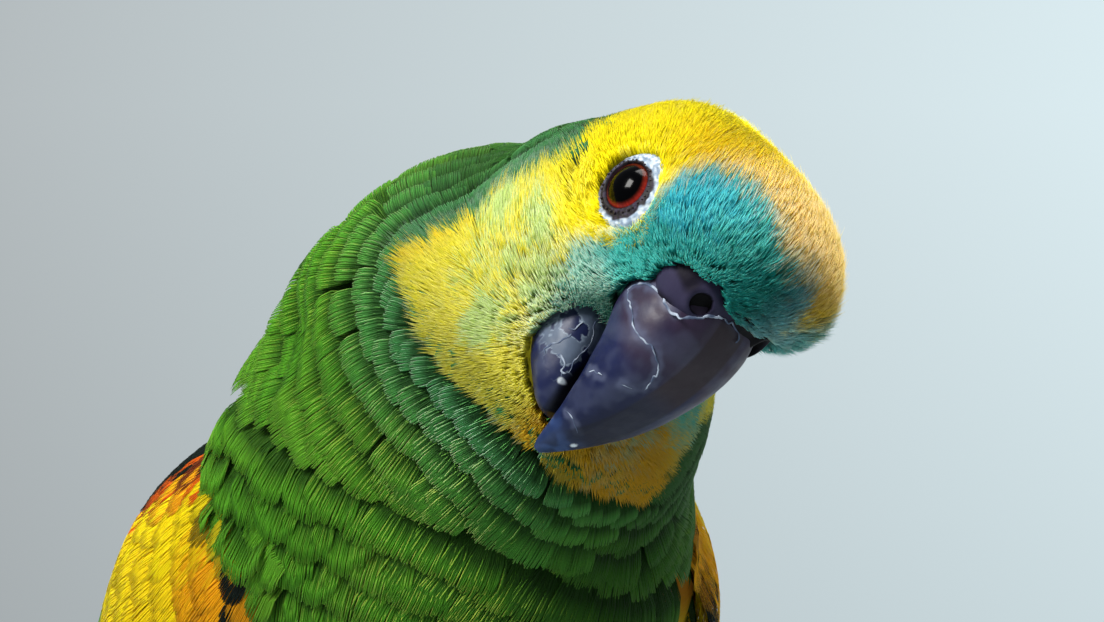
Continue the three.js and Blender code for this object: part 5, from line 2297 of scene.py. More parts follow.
        lies = unit(lies - dot(lies, ups) * ups)
        tips, bases = self.markings.green(points, rng)
        local = self.form.head.local(points)
        ruff = 1 - smooth(np.linalg.norm(local - np.array(self.raised_at), axis=1), 5, 12)
        lap = (1 - smooth(self.wing_distance(points + lies * 6), 1.5, 5)) * smooth(-points[:, 1], 30, 38)
        lap = lap * mix(1.0, 0.3, smooth(points[:, 0], -10, 10))
        trim = 1 - smooth(np.linalg.norm(local - np.array(self.trimmed_at), axis=1), 9, 17)
        flank = smooth(np.abs(points[:, 0]), 18, 28)
        rise = (0.2 + 0.1 * gaps) * mix(0.35, 1.0, smooth(hood_gap[near], 0, 7)) + 0.9 * ruff + 1.5 * lap
        # Painted shadow: each feather keeps its dark root colour up to about half its length, so a dark band
        # shows just below the edge of the row above.
        for low, high, barbs in self.kinds:
            pick = (gaps >= low) & (gaps < high)
            gap = gaps[pick]
            self.ranks.append(Plumes(
                points[pick], lies[pick],
                (gap * rng.uniform(2.15, 2.45, len(gap)) + 1 + lap[pick]) * (1 - 0.3 * trim[pick]),
                gap * rng.uniform(0.84, 1.0, len(gap)), tips[pick], bases[pick], patches[pick],
                barbs=barbs, sunk=1.2 + 0.3 * low, raised=rise[pick], ridge=0.12, fullness=0.6,
                widths=(0.8, 1.0, 1.0, 0.6), bend=0.006, stray=0.022,
                rounding=mix(0.07, 0.26, smooth(collar_gap[near[pick]] + flank[pick] * 12, 12, 24)),
                turn_in=(0.5, 0.88),
            ))
            LOG.info("body: %d feathers of %d barbs", pick.sum(), barbs)

    def wing_distance(self, points: Array) -> Array:
        """Distance from places to the nearer wing.

        Args:
            points: Places in the frame.

        Returns:
            Distances in millimetres.
        """
        low = np.full(len(points), FAR)
        for bvh, back in self.wing_solids():
            gaps = [bvh.find_nearest(back @ Vector(p * MM))[3] / MM for p in points]
            low = np.minimum(low, gaps)
        return low

    def build(self) -> None:
        """Grows every feather of the coat."""
        skin = self.flow.points
        local = self.form.head.local(skin)
        bill_gap = self.flow.spread(self.hard_distance(skin)[0] < 0.8)
        hood_gap = self.flow.spread(self.markings.hood(local, -2.2) > 0.5)
        bill_ways = self.flow.ways(bill_gap)
        self.hood(bill_ways)
        self.body(hood_gap, bill_ways)

    def dress(self) -> None:
        """Makes the feathers into pieces with their finish."""
        rng = np.random.default_rng(53)
        surface = BodySurface(self.form)
        for name, lots, slot in (("face_plumes", self.tufts, Slot.HEAD),
                                 ("body_plumes", self.ranks, Slot.BODY)):
            barbs = []
            for plumes in lots:
                for lot in split(plumes, max(9000 // (plumes.barbs * 2), 50)):
                    barbs.append(lot.grow(surface, rng))
            coat_pieces(name, barbs, PlumeFinish("plumage"), slot)


# ---- Wings --------------------------------------------------------------------------------------


@dataclass
class WingForm(Surface):
    """The smooth shape that a folded wing lies on. Roots are (share, angle in degrees, 0)."""

    side: int
    shift: Array
    ease: float = 0.0
    # Places along +Y and over the floor, half widths and half heights, from the bend to the tail.
    stations: tuple = ((-14, 125, 40.5, 33), (22, 102, 48.5, 44), (64, 72, 43, 33), (104, 46, 27, 15),
                       (148, 24, 19, 9))
    length: float = 190.0

    def line(self, share: Array) -> Array:
        """Places along the wing's middle line, on the same curve as the solid's.

        Args:
            share: Shares of the length, from 0 at the bend to 1.

        Returns:
            The places, shape (n, 3).
        """
        marks = np.array([[0, s[0], s[1]] for s in self.stations], float)
        n = len(marks)
        padded = np.vstack([2 * marks[0] - marks[1], marks, 2 * marks[-1] - marks[-2]])
        place = np.clip(share, 0, 1) * (n - 1)
        low = np.minimum(place.astype(int), n - 2)
        w = (place - low)[:, None]
        p = [padded[low + i] for i in range(4)]
        d = [np.maximum((np.linalg.norm(p[i] - p[i + 1], axis=1) ** 0.5)[:, None], 1e-6) for i in range(3)]
        t1 = ((p[1] - p[0]) / d[0] - (p[2] - p[0]) / (d[0] + d[1]) + (p[2] - p[1]) / d[1]) * d[1]
        t2 = ((p[2] - p[1]) / d[1] - (p[3] - p[1]) / (d[1] + d[2]) + (p[3] - p[2]) / d[2]) * d[1]
        c2 = -3 * p[1] + 3 * p[2] - 2 * t1 - t2
        c3 = 2 * p[1] - 2 * p[2] + t1 + t2
        return p[1] + t1 * w + c2 * w**2 + c3 * w**3

    def size(self, index: int, share: Array) -> Array:
        """A size of the shape at shares of its length.

        Args:
            index: Which number of a station is wanted.
            share: Shares of the length.

        Returns:
            The size at each share.
        """
        place = np.clip(share, 0, 1) * (len(self.stations) - 1)
        low = np.minimum(place.astype(int), len(self.stations) - 2)
        t = smooth(place - low, 0, 1) * 0.5 + (place - low) * 0.5
        values = np.array([s[index] for s in self.stations], float)
        return mix(values[low], values[low + 1], t)

    def point(self, share: Array, angle: Array, lift: Array) -> Array:
        """Places over the back: share from the bend to the tail, angle from the back's middle.

        Args:
            share: Shares of the length.
            angle: Degrees round the shape, outwards.
            lift: Height over the shape.

        Returns:
            The places, shape (n, 3).
        """
        share, angle, lift = (np.asarray(a, float) for a in np.broadcast_arrays(share, angle, lift))
        share = np.clip(share, 0, 1)
        centre = self.line(share)
        step = 0.004
        way = unit(self.line(np.clip(share + step, 0, 1)) - self.line(np.clip(share - step, 0, 1)))
        up = np.stack([np.zeros(len(way)), -way[:, 2], way[:, 1]], -1)
        a = np.radians(angle)
        wide, high = self.size(2, share) + lift, self.size(3, share) + lift
        out = np.array([self.side, 0, 0]) * (wide * np.sin(a))[:, None] + up * (high * np.cos(a))[:, None]
        return centre + out + self.shift

    def arc(self, share: Array, angle: Array) -> Array:
        """Millimetres for each radian round the shape."""
        a = np.radians(angle)
        return np.maximum(np.hypot(self.size(2, share) * np.cos(a), self.size(3, share) * np.sin(a)), 8)

    def place(self, roots: Array, lies: Array, index: Array, across: Array, along: Array, height: Array
              ) -> tuple[Array, Array]:
        """See Surface. Lies are changes of share and of angle for each millimetre along."""
        share = roots[index, 0] + lies[index, 0] * along
        angle = roots[index, 1] + lies[index, 1] * along
        angle = angle + np.degrees(across / self.arc(share, angle))
        nose = self.nose(np.minimum(share, 0))
        height = height - self.drop(share)
        points = self.point(share, angle, height) + nose
        return points, unit(self.point(share, angle, height + 1.0) + nose - points)

    def drop(self, share: Array) -> Array:
        """How much lower the plumage lies at the bend than over the arm."""
        low = 4.0 * (1 - smooth(share, -0.02, 0.13)) + 10.0 * (np.minimum(share, 0) / 0.05) ** 2
        return low - self.ease * smooth(share, 0.01, 0.08) * (1 - smooth(share, 0.2, 0.3))

    def nose(self, share: Array) -> Array:
        """How far places in front of the bend's first ring move forwards."""
        way = unit(self.line(np.array([0.004])) - self.line(np.array([0.0])))
        return way * (share * self.length)[:, None]


@dataclass
class Web:
    """The closed vane of one long feather."""

    width: float
    tip: float = 0.72
    thickness: float = 0.35
    rise: float = 0.35
    tilt: float = 0.8
    root_lift: float = 0.0
    tip_lift: float = 1.0

    def grid(self, rows: int = 22) -> tuple[Array, Array, Array]:
        """Shares along, places across from -1 to 1, and half widths.

        Args:
            rows: Number of places along the vane.

        Returns:
            The three arrays.
        """
        near_tip = 0.8 + 0.2 * np.sin(np.linspace(0, 1, 10)[1:] * np.pi / 2)
        t = np.concatenate([np.linspace(0, 0.8, rows - 9), near_tip])
        e = np.array([-1, -0.72, -0.4, -0.07, 0.0, 0.07, 0.4, 0.72, 1.0])
        rounding = np.sqrt(np.maximum(1 - np.clip((t - self.tip) / (1.015 - self.tip), 0, 1) ** 2, 0))
        half = self.width / 2 * mix(0.6, 1, smooth(t, 0, 0.5)) * rounding
        return t, e, half


def web_mesh(name: str, sheets: list[tuple[Array, Array, Array, Array]]) -> bpy.types.Object:
    """Long feathers as one mesh.

    Args:
        name: The piece's name.
        sheets: For each feather its upper and lower grids of points, its colours and its flat places,
            each of shape (rows, columns, ...).

    Returns:
        The object, with the UV map "Web" over each vane.
    """
    points, tones, webs, faces, start = [], [], [], [], 0
    for upper, lower, tone, flat in sheets:
        rows, columns = upper.shape[:2]
        count = rows * columns
        r, c = np.meshgrid(np.arange(rows - 1), np.arange(columns - 1), indexing="ij")
        a = (r * columns + c).ravel()
        top = np.stack([a, a + 1, a + columns + 1, a + columns], -1) + start
        under = top[:, ::-1] + count
        rim = np.concatenate([
            np.arange(columns), np.arange(1, rows) * columns + columns - 1,
            (rows - 1) * columns + np.arange(columns - 2, -1, -1), np.arange(rows - 2, 0, -1) * columns,
        ]) + start
        after = np.roll(rim, -1)
        faces += [top, under, np.stack([rim, rim + count, after + count, after], -1)]
        points += [upper.reshape(-1, 3), lower.reshape(-1, 3)]
        tones += [tone.reshape(-1, 3)] * 2
        webs += [flat.reshape(-1, 2)] * 2
        start += 2 * count
    faces = np.vstack(faces)
    web = np.vstack(webs)
    made = make_mesh(name, np.vstack(points), [faces], np.vstack(tones))
    corners = np.zeros(len(made.data.loops), np.int32)
    made.data.loops.foreach_get("vertex_index", corners)
    made.data.uv_layers.new(name="Web").data.foreach_set("uv", web[corners].astype(np.float32).ravel())
    outwards(made)
    return made


@dataclass
class Wing:
    """One folded wing: the feathered arm, its coverts and its long feathers."""

    form: WingForm
    palette: Palette
    # The large coverts' rows: share of the length, first and last angle, half width and length.
    covert_rows: tuple = ((0.186, 33, 101, 5.8, 32), (0.235, 32, 100, 6.0, 34), (0.285, 31, 96, 6.4, 37))
    sheets: list = field(default_factory=list)
    soft: list = field(default_factory=list)

    @property
    def hand(self) -> str:
        """left or right."""
        return "left" if self.form.side > 0 else "right"

    def long_feathers(self, count: int, root_share: tuple, root_angle: tuple, tip_share: tuple,
                      tip_angle: tuple, shape: Web, fall: float,
                      paint_web: Callable[[Array, Array, float], Array]) -> None:
        """A tier of long feathers. Pairs run from the feather nearest the back to the lowest.

        Args:
            count: Number of feathers.
            root_share: Share of the wing's length at the roots.
            root_angle: Angles at the roots, in degrees.
            tip_share: Shares at the tips.
            tip_angle: Angles at the tips.
            shape: The vane's sizes.
            fall: How much lower each feather lies than the one before it.
            paint_web: Gives the colours for shares along, places across and the feather's order.
        """
        for i in range(count):
            order = i / max(count - 1, 1)
            t, e, half = shape.grid()
            grid_t, grid_e = np.meshgrid(t, e, indexing="ij")
            wave = 1 + 0.02 * math.sin(i * 2.4)
            share = mix(mix(*root_share, order), mix(*tip_share, order) * wave, grid_t).ravel()
            angle = mix(mix(*root_angle, order), mix(*tip_angle, order), grid_t).ravel()
            across = (grid_e * half[:, None]).ravel()
            angle = angle + np.degrees(across / self.form.arc(share, angle))
            lift = mix(shape.root_lift, shape.tip_lift, smooth(grid_t, 0, 0.9))
            lift = lift + shape.rise * (1 - np.abs(grid_e)) + grid_e * shape.tilt - fall * i * grid_t
            upper = self.form.point(share, angle, lift.ravel()).reshape(*grid_t.shape, 3)
            thin = shape.thickness * mix(1, 0.5, smooth(grid_t, 0.6, 1))
            lower = self.form.point(share, angle, (lift - thin).ravel()).reshape(*grid_t.shape, 3)
            tone = paint_web(grid_t, grid_e, order)
            shaft = (1 - smooth(np.abs(grid_e), 0.03, 0.1))[..., None]
            tone = mix(tone, tone * 0.35 + tint("2A1E14") * 0.3, shaft * 0.8)
            slant = grid_t * 4 + np.abs(grid_e) * 0.45 + i * 0.37
            self.sheets.append((upper, lower, tone, np.stack([grid_e * 0.5 + 0.5, slant], -1)))

    def primary_web(self, t: Array, e: Array, order: float) -> Array:
        """Colours of the primaries: green at the root, then blue-black.

        Args:
            t: Shares along the feather.
            e: Places across it.
            order: The feather's place in its tier, from 0 to 1.

        Returns:
            Colours.
        """
        c = self.palette
        green = mix(c.green, c.blue, 0.35)
        tone = mix(green, c.ink, smooth(t, 0.35, 0.8)[..., None])
        return mix(tone, c.blue, (smooth(e, 0.2, 1) * (1 - smooth(t, 0.5, 0.95)) * 0.6)[..., None])

    def secondary_web(self, t: Array, e: Array, order: float) -> Array:
        """Colours of the secondaries: green, some with a red patch, tipped with blue.

        Args:
            t: Shares along the feather.
            e: Places across it.
            order: The feather's place in its tier, from 0 to 1.

        Returns:
            Colours.
        """
        c = self.palette
        red = smooth(order, 0.35, 0.6) * smooth(t, 0.3, 0.45) * (1 - smooth(t, 0.66, 0.8))
        tone = mix(c.green * 0.8, c.red, (red * smooth(-np.abs(e), -1.2, -0.2))[..., None])
        tip = smooth(t, 0.74, 0.96)[..., None]
        tone = mix(tone, c.blue, tip * (0.4 + 0.5 * float(smooth(order, 0.2, 0.6))))
        return mix(tone, c.ink, smooth(t, 0.95, 1.02)[..., None] * 0.5)

    def covert_colours(self, share: Array, angle: Array, rng: np.random.Generator) -> tuple[Array, Array]:
        """Tip and root colours of the coverts: yellow and red at the bend, green behind.

        Args:
            share: Shares of the wing's length at the tips.
            angle: Angles at the tips.
            rng: Random numbers.

        Returns:
            Tip colours and root colours.
        """
        c = self.palette
        n = len(share)
        loose = rng.normal(0, 1, n)
        tone = mix(c.yellow, c.orange, rng.uniform(0, 0.18, (n, 1)))
        tone = mix(tone, c.orange, (smooth(angle, 74, 92) * (1 - smooth(share, 0.1, 0.17)) * 0.75)[:, None])
        red = smooth(-(angle + loose * 0.8), -63, -58)
        tone = mix(tone, c.red, (red * 0.9)[:, None])
        black = np.maximum(smooth(-(angle + loose * 0.8), -55, -52), smooth(angle + loose, 102, 106))
        tone = mix(tone, c.dark, black[:, None])
        green = smooth(share + loose * 0.006, 0.29, 0.34)
        edge = np.interp(angle, (50, 62, 85, 103), (0.105, 0.095, 0.055, 0.035))
        edge = edge - (0.055 if self.form.side > 0 else 0.0)
        rim = 1 - smooth(np.abs(share + loose * 0.002 - edge - 0.008), 0.004, 0.01)
        tone = mix(tone, c.dark, (rim * smooth(angle, 64, 76))[:, None])
        green = np.maximum(green, 1 - smooth(share + loose * 0.003 - edge, -0.008, 0.004))
        leafy = mix(c.green, c.leaf, 0.4) * rng.uniform(0.88, 1.08, (n, 1))
        tone = mix(tone, leafy, green[:, None])
        return tone, mix(tone * 0.93, tone * 0.35, green[:, None])

    def small_coverts(self) -> Plumes:
        """Rows of small soft feathers over the wing's bend.

        Returns:
            The feathers.
        """
        rng = np.random.default_rng(83 + self.form.side)
        roots, lies, lengths, halves = [], [], [], []
        for number, share in enumerate(np.linspace(-0.045, 0.215, 11)):
            first = float(np.interp(share, (-0.045, 0.05, 0.215), (52, 42, 33)))
            last = float(np.interp(share, (-0.045, 0.02, 0.1, 0.215), (98, 104, 106, 103)))
            half = 3.9 + 5 * share
            arc = float(self.form.arc(np.array([max(share, 0)]), np.array([75.0]))[0])
            count = int(math.radians(last - first) * arc / (half * 1.1))
            angles = mix(first, last, (np.arange(count) + 0.5 + 0.5 * (number % 2)) / (count + 0.5))
            back = float(smooth(np.array(share), 0.0, 0.2))
            root = np.stack([np.full(count, share), angles, 0 * angles], -1)
            roots.append(root + rng.normal(0, 1, (count, 3)) * [0.002, 0.5, 0])
            drift = mix(0.6, 0.0, back) - (angles - 60) * 0.0045 * back + rng.normal(0, 0.03, count)
            run = np.full(count, mix(0.72, 1.0, back) / self.form.length)
            lies.append(np.stack([run, drift, 0 * drift], -1))
            lengths.append(rng.uniform(0.92, 1.08, count) * (15.5 + 32 * max(share, 0)))
            halves.append(np.full(count, half) * rng.uniform(0.95, 1.1, count))
        roots, lies, lengths, halves = (np.concatenate(v) for v in (roots, lies, lengths, halves))
        ends = roots + lies * lengths[:, None] * 0.8
        tips, bases = self.covert_colours(ends[:, 0], ends[:, 1], rng)
        patches = np.stack([roots[:, 1] / 180 + 0.25 * self.form.side + 0.1, roots[:, 0] + 0.1], -1)
        sunk = 1.6 + 2.5 * (1 - smooth(roots[:, 0], -0.03, 0.02))
        return Plumes(roots, lies, lengths, halves, tips, bases, np.clip(patches, 0.01, 0.99), barbs=24,
                      sunk=sunk, raised=0.4, rounding=0.24, ridge=0.08, camber=0.03, turn_in=(0.3, 0.6),
                      fullness=0.62, widths=(0.8, 1.0, 1.0, 0.6), bend=0.006, stray=0.02)

    def coverts(self) -> None:
        """Rows of large coverts over the roots of the long feathers."""
        rng = np.random.default_rng(61 + self.form.side)
        t = np.array([0, 0.18, 0.34, 0.48, 0.6, 0.71, 0.8, 0.88, 0.94, 0.98, 1.0])
        e = np.linspace(-1, 1, 11)
        grid_t, grid_e = np.meshgrid(t, e, indexing="ij")
        rounding = np.sqrt(np.clip(1 - np.clip((grid_t - 0.5) / 0.51, 0, 1) ** 2, 0.01, 1))
        for number, (share, first, last, half, length) in enumerate(self.covert_rows):
            arc = float(self.form.arc(np.array([share]), np.array([75.0]))[0])
            count = int(math.radians(last - first) * arc / (half * 1.15))
            order = (np.arange(count) + 0.5 + 0.25 * (number % 2)) / (count + 0.25)
            angles = mix(first, last, order) + rng.normal(0, 0.6, count)
            shares = share + rng.normal(0, 0.003, count)
            long = length * rng.uniform(0.94, 1.06, count)
            drift = -(angles - 60) * 0.0045
            end_shares = shares + long / self.form.length
            tips, bases = self.covert_colours(end_shares, angles + long * drift * 0.5, rng)
            for i in range(count):
                along = grid_t * long[i] * (1 + rng.normal(0, 0.01, e.shape) * (grid_t > 0.9))
                across = grid_e * half * rounding * mix(0.5, 1, smooth(grid_t, 0, 0.4))
                lift = 0.2 + 0.2 * number + 0.1 * (i % 2) + rng.uniform(0, 0.15)
                height = mix(-2.0, lift, smooth(grid_t, 0, 0.7)) + (1 - grid_e**2) * 0.07 * half * grid_t
                root = np.array([[shares[i], angles[i], 0.0]])
                lie = np.array([[1 / self.form.length, drift[i], 0.0]])
                index = np.zeros(grid_t.size, int)
                upper, ups = self.form.place(root, lie, index, across.ravel(), along.ravel(), height.ravel())
                lower = upper - ups * 0.2
                tone = mix(bases[i], tips[i], smooth(grid_t, 0.3, 0.75)[..., None])
                tone = tone * (1 + rng.normal(0, 0.05, e.shape))[..., None]
                slant = grid_t * long[i] / 30 + np.abs(grid_e) * 0.25 + i * 0.37
                shape = (*grid_t.shape, 3)
                flat_web = np.stack([grid_e * 0.5 + 0.5, slant], -1)
                self.soft.append((upper.reshape(shape), lower.reshape(shape), tone, flat_web))

    def arm(self) -> bpy.types.Object:
        """The skin of the arm under the coverts.

        Returns:
            The skin of the arm.
        """
        shares = np.linspace(-0.012, 0.44, 26)
        across = np.linspace(0, 1, 17)
        s, x = np.meshgrid(shares, across, indexing="ij")
        length = (s + 0.012) / 0.452
        first = np.interp(length, (0, 0.33, 0.66, 1), (58, 46, 36, 32))
        last = np.interp(length, (0, 0.33, 0.66, 1), (92, 100, 101, 96))
        x = (x - 0.5) * np.interp(length, (0, 0.06, 0.2, 1), (0.3, 0.7, 1, 1)) + 0.5
        angle = mix(first, last, x)
        edge = np.abs(x * 2 - 1) ** 3
        nose = smooth(-length, -0.16, 0)
        lift = -1.8 - 3.5 * edge - 3.0 * nose - self.form.drop(s)
        deep = -14 * mix(1, 0.3, smooth(length, 0.6, 1))
        back = np.minimum(s, 0).ravel()
        upper = self.form.point(s.ravel(), angle.ravel(), lift.ravel()) + self.form.nose(back)
        lower = self.form.point(s.ravel(), angle.ravel(), deep.ravel()) + self.form.nose(back)
        rng = np.random.default_rng(67)
        tone, _ = self.covert_colours(s.ravel(), angle.ravel(), rng)
        shape = (*s.shape, 3)
        flat = np.stack([x, s * 4], -1)
        # Painted shade: the arm's skin has the coverts' colours at half their brightness, as shade under the
        # coverts.
        piece = web_mesh(f"wing_arm_{self.hand}", [
            (upper.reshape(shape), lower.reshape(shape), tone.reshape(shape) * 0.5, flat)
        ])
        finish_piece(piece, SkinFinish("skin under plumage", roughness=0.8), Slot.WING, f"wing_{self.hand}")
        return piece

    def build(self) -> None:
        """Makes the whole wing."""
        self.long_feathers(9, (0.42, 0.34), (60, 98), (0.78, 1.0), (22, 27),
                           Web(13, 0.6, root_lift=-3, tip_lift=-0.6, tilt=0.9), 0.66, self.primary_web)
        self.long_feathers(9, (0.38, 0.3), (33, 90), (0.75, 0.6), (17, 64),
                           Web(14, 0.66, root_lift=-1.2, tip_lift=1.9, tilt=0.9), 0.46, self.secondary_web)
        self.coverts()
        self.arm()

    def dress(self) -> None:
        """Makes the feathers into pieces with their finish."""
        for name, sheets in (("flight_feathers", self.sheets), ("wing_coverts", self.soft)):
            finish_piece(web_mesh(f"{name}_{self.hand}", sheets), VaneFinish("long feather web"), Slot.WING)
        barbs = self.small_coverts().grow(self.form, np.random.default_rng(89 + self.form.side))
        coat_pieces(f"small_coverts_{self.hand}", [barbs], PlumeFinish("plumage"), Slot.WING)


# ---- Tail ---------------------------------------------------------------------------------------


@dataclass
class Tail:
    """The twelve tail feathers."""

    shift: Array
    palette: Palette
    root: tuple[float, float, float] = (0, 66, 61)
    pitch: float = -24.5
    length: float = 128.0
    half_width: float = 26.0
    pairs: int = 6
    # How much lower each pair lies than the one nearer the middle, and how much shorter the last is.
    step: float = 0.9
    shortening: float = 15.0
    # Where the vanes start, out from the root, and their sizes.
    start: float = 6.0
    vane: Web = field(default_factory=lambda: Web(19, 0.84))
    thickness: float = 0.35

    def point(self, out: Array, across: Array, up: Array) -> Array:
        """Places in the tail's own axes.

        Args:
            out: Distances out from the root.
            across: Distances to the left.
            up: Heights.

        Returns:
            The places in the frame.
        """
        a = math.radians(self.pitch)
        along = np.array([0, math.cos(a), math.sin(a)])
        rise = np.array([0, -math.sin(a), math.cos(a)])
        base = np.array(self.root) + self.shift
        side = across[..., None] * np.array([1.0, 0, 0])
        return base + out[..., None] * along + up[..., None] * rise + side

    def web(self, t: Array, spread: float) -> Array:
        """Colours of a tail feather: green, red inside near the root, yellow-green at the tip.

        Args:
            t: Shares along the feather.
            spread: The feather's place from the middle, from 0 to 1.

        Returns:
            Colours.
        """
        c = self.palette
        tone = np.broadcast_to(mix(c.green, c.deep, 0.2), (*t.shape, 3))
        red = spread * smooth(t, 0.1, 0.25) * (1 - smooth(t, 0.5, 0.66))
        tone = mix(tone, c.red, (red * 0.8)[..., None])
        return mix(tone, mix(c.leaf, c.cheek, 0.45), smooth(t, 0.72, 0.86)[..., None])

    def build(self) -> bpy.types.Object:
        """Makes the tail.

        Returns:
            The tail.
        """
        sheets = []
        for pair in range(self.pairs - 1, -1, -1):
            for side in (-1, 1):
                spread = pair / (self.pairs - 1)
                reach = self.length - self.shortening * spread**2
                above = -self.step * (pair + (0.5 if side > 0 else 0))
                t, e, half = self.vane.grid(26)
                grid_t, grid_e = np.meshgrid(t, e, indexing="ij")
                across = side * mix(2 + 9 * spread, 4.5 + (self.half_width - 14.5) * spread, grid_t)
                across = across + grid_e * half[:, None]
                up = above + smooth(grid_t, 0, 0.9) - 0.003 * across**2 + 0.3 * (1 - np.abs(grid_e))
                out = mix(self.start, reach, grid_t)
                upper = self.point(out, across, up)
                thin = self.thickness * mix(1, 0.5, smooth(grid_t, 0.6, 1))
                lower = self.point(out, across, up - thin)
                tone = self.web(grid_t, spread)
                shaft = (1 - smooth(np.abs(grid_e), 0.03, 0.1))[..., None]
                tone = mix(tone, tone * 0.4, shaft * 0.8)
                slant = grid_t * 5 + np.abs(grid_e) * 0.4 + pair * 0.3
                sheets.append((upper, lower, tone, np.stack([grid_e * 0.5 + 0.5, slant], -1)))
        piece = web_mesh("tail_feathers", sheets)
        finish_piece(piece, VaneFinish("long feather web"), Slot.TAIL, "tail")
        return piece


# ---- Feet ---------------------------------------------------------------------------------------


@dataclass
class Foot:
    """One shank and foot, with two toes ahead and two behind."""

    shift: Array
    side: int
    ankle: tuple[float, float, float] = (22, 28, 33)
    sole: tuple[float, float, float] = (23, 11, 5.5)
    shank_radius: float = 4.3
    pad_radius: float = 6.8
    claw_length: float = 11.0
    # Each toe's name, turn from straight ahead in degrees, length and radius.
    toes: tuple = (("inner_front", -27, 25, 3.2), ("outer_front", 14, 34, 3.5),
                   ("outer_back", 152, 31, 3.4), ("inner_back", -152, 18, 3.1))
    # The plates' half width and height along a toe, in shares of its radius.
    plate_at: tuple = (0, 0.3, 0.48, 0.68, 0.9, 1)
    plate_half: tuple = (1, 1.04, 0.88, 1, 0.9, 0.6)
    plate_height: tuple = (1.25, 1, 0.88, 0.92, 0.86, 0.84)

    @property
    def hand(self) -> str:
        """left or right."""
        return "left" if self.side > 0 else "right"

    def mirrored(self, point: tuple[float, float, float]) -> Array:
        """A place of the left foot, on this foot."""
        return np.array(point, float) * [self.side, 1, 1] + self.shift

    def toe_line(self, angle: float, out: Array, height: Array) -> Array:
        """Places over the floor at distances out from the foot's middle.

        Args:
            angle: Turn from straight ahead, in degrees.
            out: Distances.
            height: Heights over the floor.

        Returns:
            The places, shape (n, 3).
        """
        a = math.radians(angle)
        base = self.mirrored(self.sole)
        x = base[0] + self.side * math.sin(a) * out
        y = base[1] - math.cos(a) * out
        return np.stack(np.broadcast_arrays(x, y, height + self.shift[2]), -1)

    def toe_rings(self, angle: float, length: float, radius: float) -> Array:
        """Rings of one toe with the swellings of its pads.

        Args:
            angle: The toe's turn from straight ahead, in degrees.
            length: The toe's length.
            radius: The toe's radius.

        Returns:
            The rings' points.
        """
        marks = np.array([(0.0, 1.0, 1.3), (0.08, 1.0, 1.25), (0.3, 1.04, 1.0), (0.48, 0.88, 0.88),
                          (0.68, 1.0, 0.92), (0.9, 0.9, 0.86), (1.0, 0.6, 0.84)])
        share = np.linspace(0, 1, 40)
        size = np.interp(share, marks[:, 0], marks[:, 1]) * radius
        height = np.interp(share, marks[:, 0], marks[:, 2]) * radius
        path = self.toe_line(angle, share * length, height)
        return tube(path, size, size, np.array([0, 0, 1.0]), 20)

    def build_skin(self) -> bpy.types.Object:
        """The shank, the sole and the toes as one scaly skin.

        Returns:
            The skin.
        """
        shares = np.array([-0.12, 0, 0.25, 0.6, 0.85, 1])
        radii = np.array([0.7, 1.15, 0.95, 0.95, 1.12, 1.2]) * self.shank_radius
        top, low = self.mirrored(self.ankle), self.mirrored(self.sole)
        path = top + shares[:, None] * (low - top)
        parts = [closed_tube(tube(path, radii, radii, np.array([0, -1.0, 0]), 20))]
        parts.append(ball_part(low - [0, 0, 0.2], np.array([self.pad_radius, self.pad_radius * 1.05, 5.7])))
        for _, angle, length, radius in self.toes:
            parts.append(closed_tube(self.toe_rings(angle, length, radius)))
        piece = fused(f"foot_{self.hand}", parts, 0.55, 5)
        points = mesh_points(piece.data)
        cells = cloud(points, 1.1, 111) * 0.3 + cloud(points * [1, 1, 0.5], 2.2, 112) * 0.3
        normals = np.zeros(len(points) * 3, np.float32)
        piece.data.vertices.foreach_get("normal", normals)
        points = points + normals.reshape(-1, 3) * (cells - 0.3)[:, None] * 0.5
        points[:, 2] = np.maximum(points[:, 2], 0.02)
        move_points(piece.data, points)
        tone = mix(tint("6F6C69"), tint("A39C94"), smooth(cloud(points, 1.4, 113), 0.35, 0.75)[:, None])
        paint(piece.data, tone)
        names = [f"toe_{self.hand}_{toe[0]}" for toe in self.toes]
        finish_piece(piece, SkinFinish("scaly skin", grain=900.0, relief=0.0002, roughness=0.6),
                     Slot.FOOT, f"shank_{self.hand}", *names)
        return piece

    def build_scutes(self) -> bpy.types.Object:
        """The plates over the toes and the front of the shank.

        Returns:
            The plates.
        """
        centres, outs, alongs, sizes = [], [], [], []
        for _, angle, length, radius in self.toes:
            for out in np.arange(5.5, length - 1.5, 1.75):
                share = out / length
                size = float(np.interp(share, self.plate_at, self.plate_half)) * radius
                height = float(np.interp(share, self.plate_at, self.plate_height)) * radius
                place = self.toe_line(angle, np.array([out]), np.array([height]))[0]
                way = self.toe_line(angle, np.array([out + 1]), np.array([height]))[0] - place
                centres.append(place + [0, 0, size * 0.72])
                outs.append([0, 0, 1.0])
                alongs.append(unit(way))
                sizes.append([size * 0.82, 0.98, size * 0.34])
        top, low = self.mirrored(self.ankle), self.mirrored(self.sole)
        way = unit(low - top)
        front = unit(np.array([0, -1.0, 0]) + way[1] * way)
        for out in np.arange(3, np.linalg.norm(low - top) - 4, 1.9):
            centres.append(top + way * out + front * self.shank_radius * 0.72)
            outs.append(front)
            alongs.append(way)
            sizes.append([self.shank_radius * 0.78, 1.05, self.shank_radius * 0.34])
        finish = SkinFinish("plates", grain=1500.0, relief=0.00006, roughness=0.45)
        piece = Studs(f"scutes_{self.hand}", np.array(centres), np.array(outs), np.array(alongs),
                      np.array(sizes), rings=8, segments=14).build(material_of(finish))
        points = mesh_points(piece.data)
        tone = mix(tint("7E7A75"), tint("B3ABA1"), smooth(cloud(points, 2.0, 115), 0.3, 0.7)[:, None])
        paint(piece.data, tone)
        finish_piece(piece, finish, Slot.FOOT)
        return piece

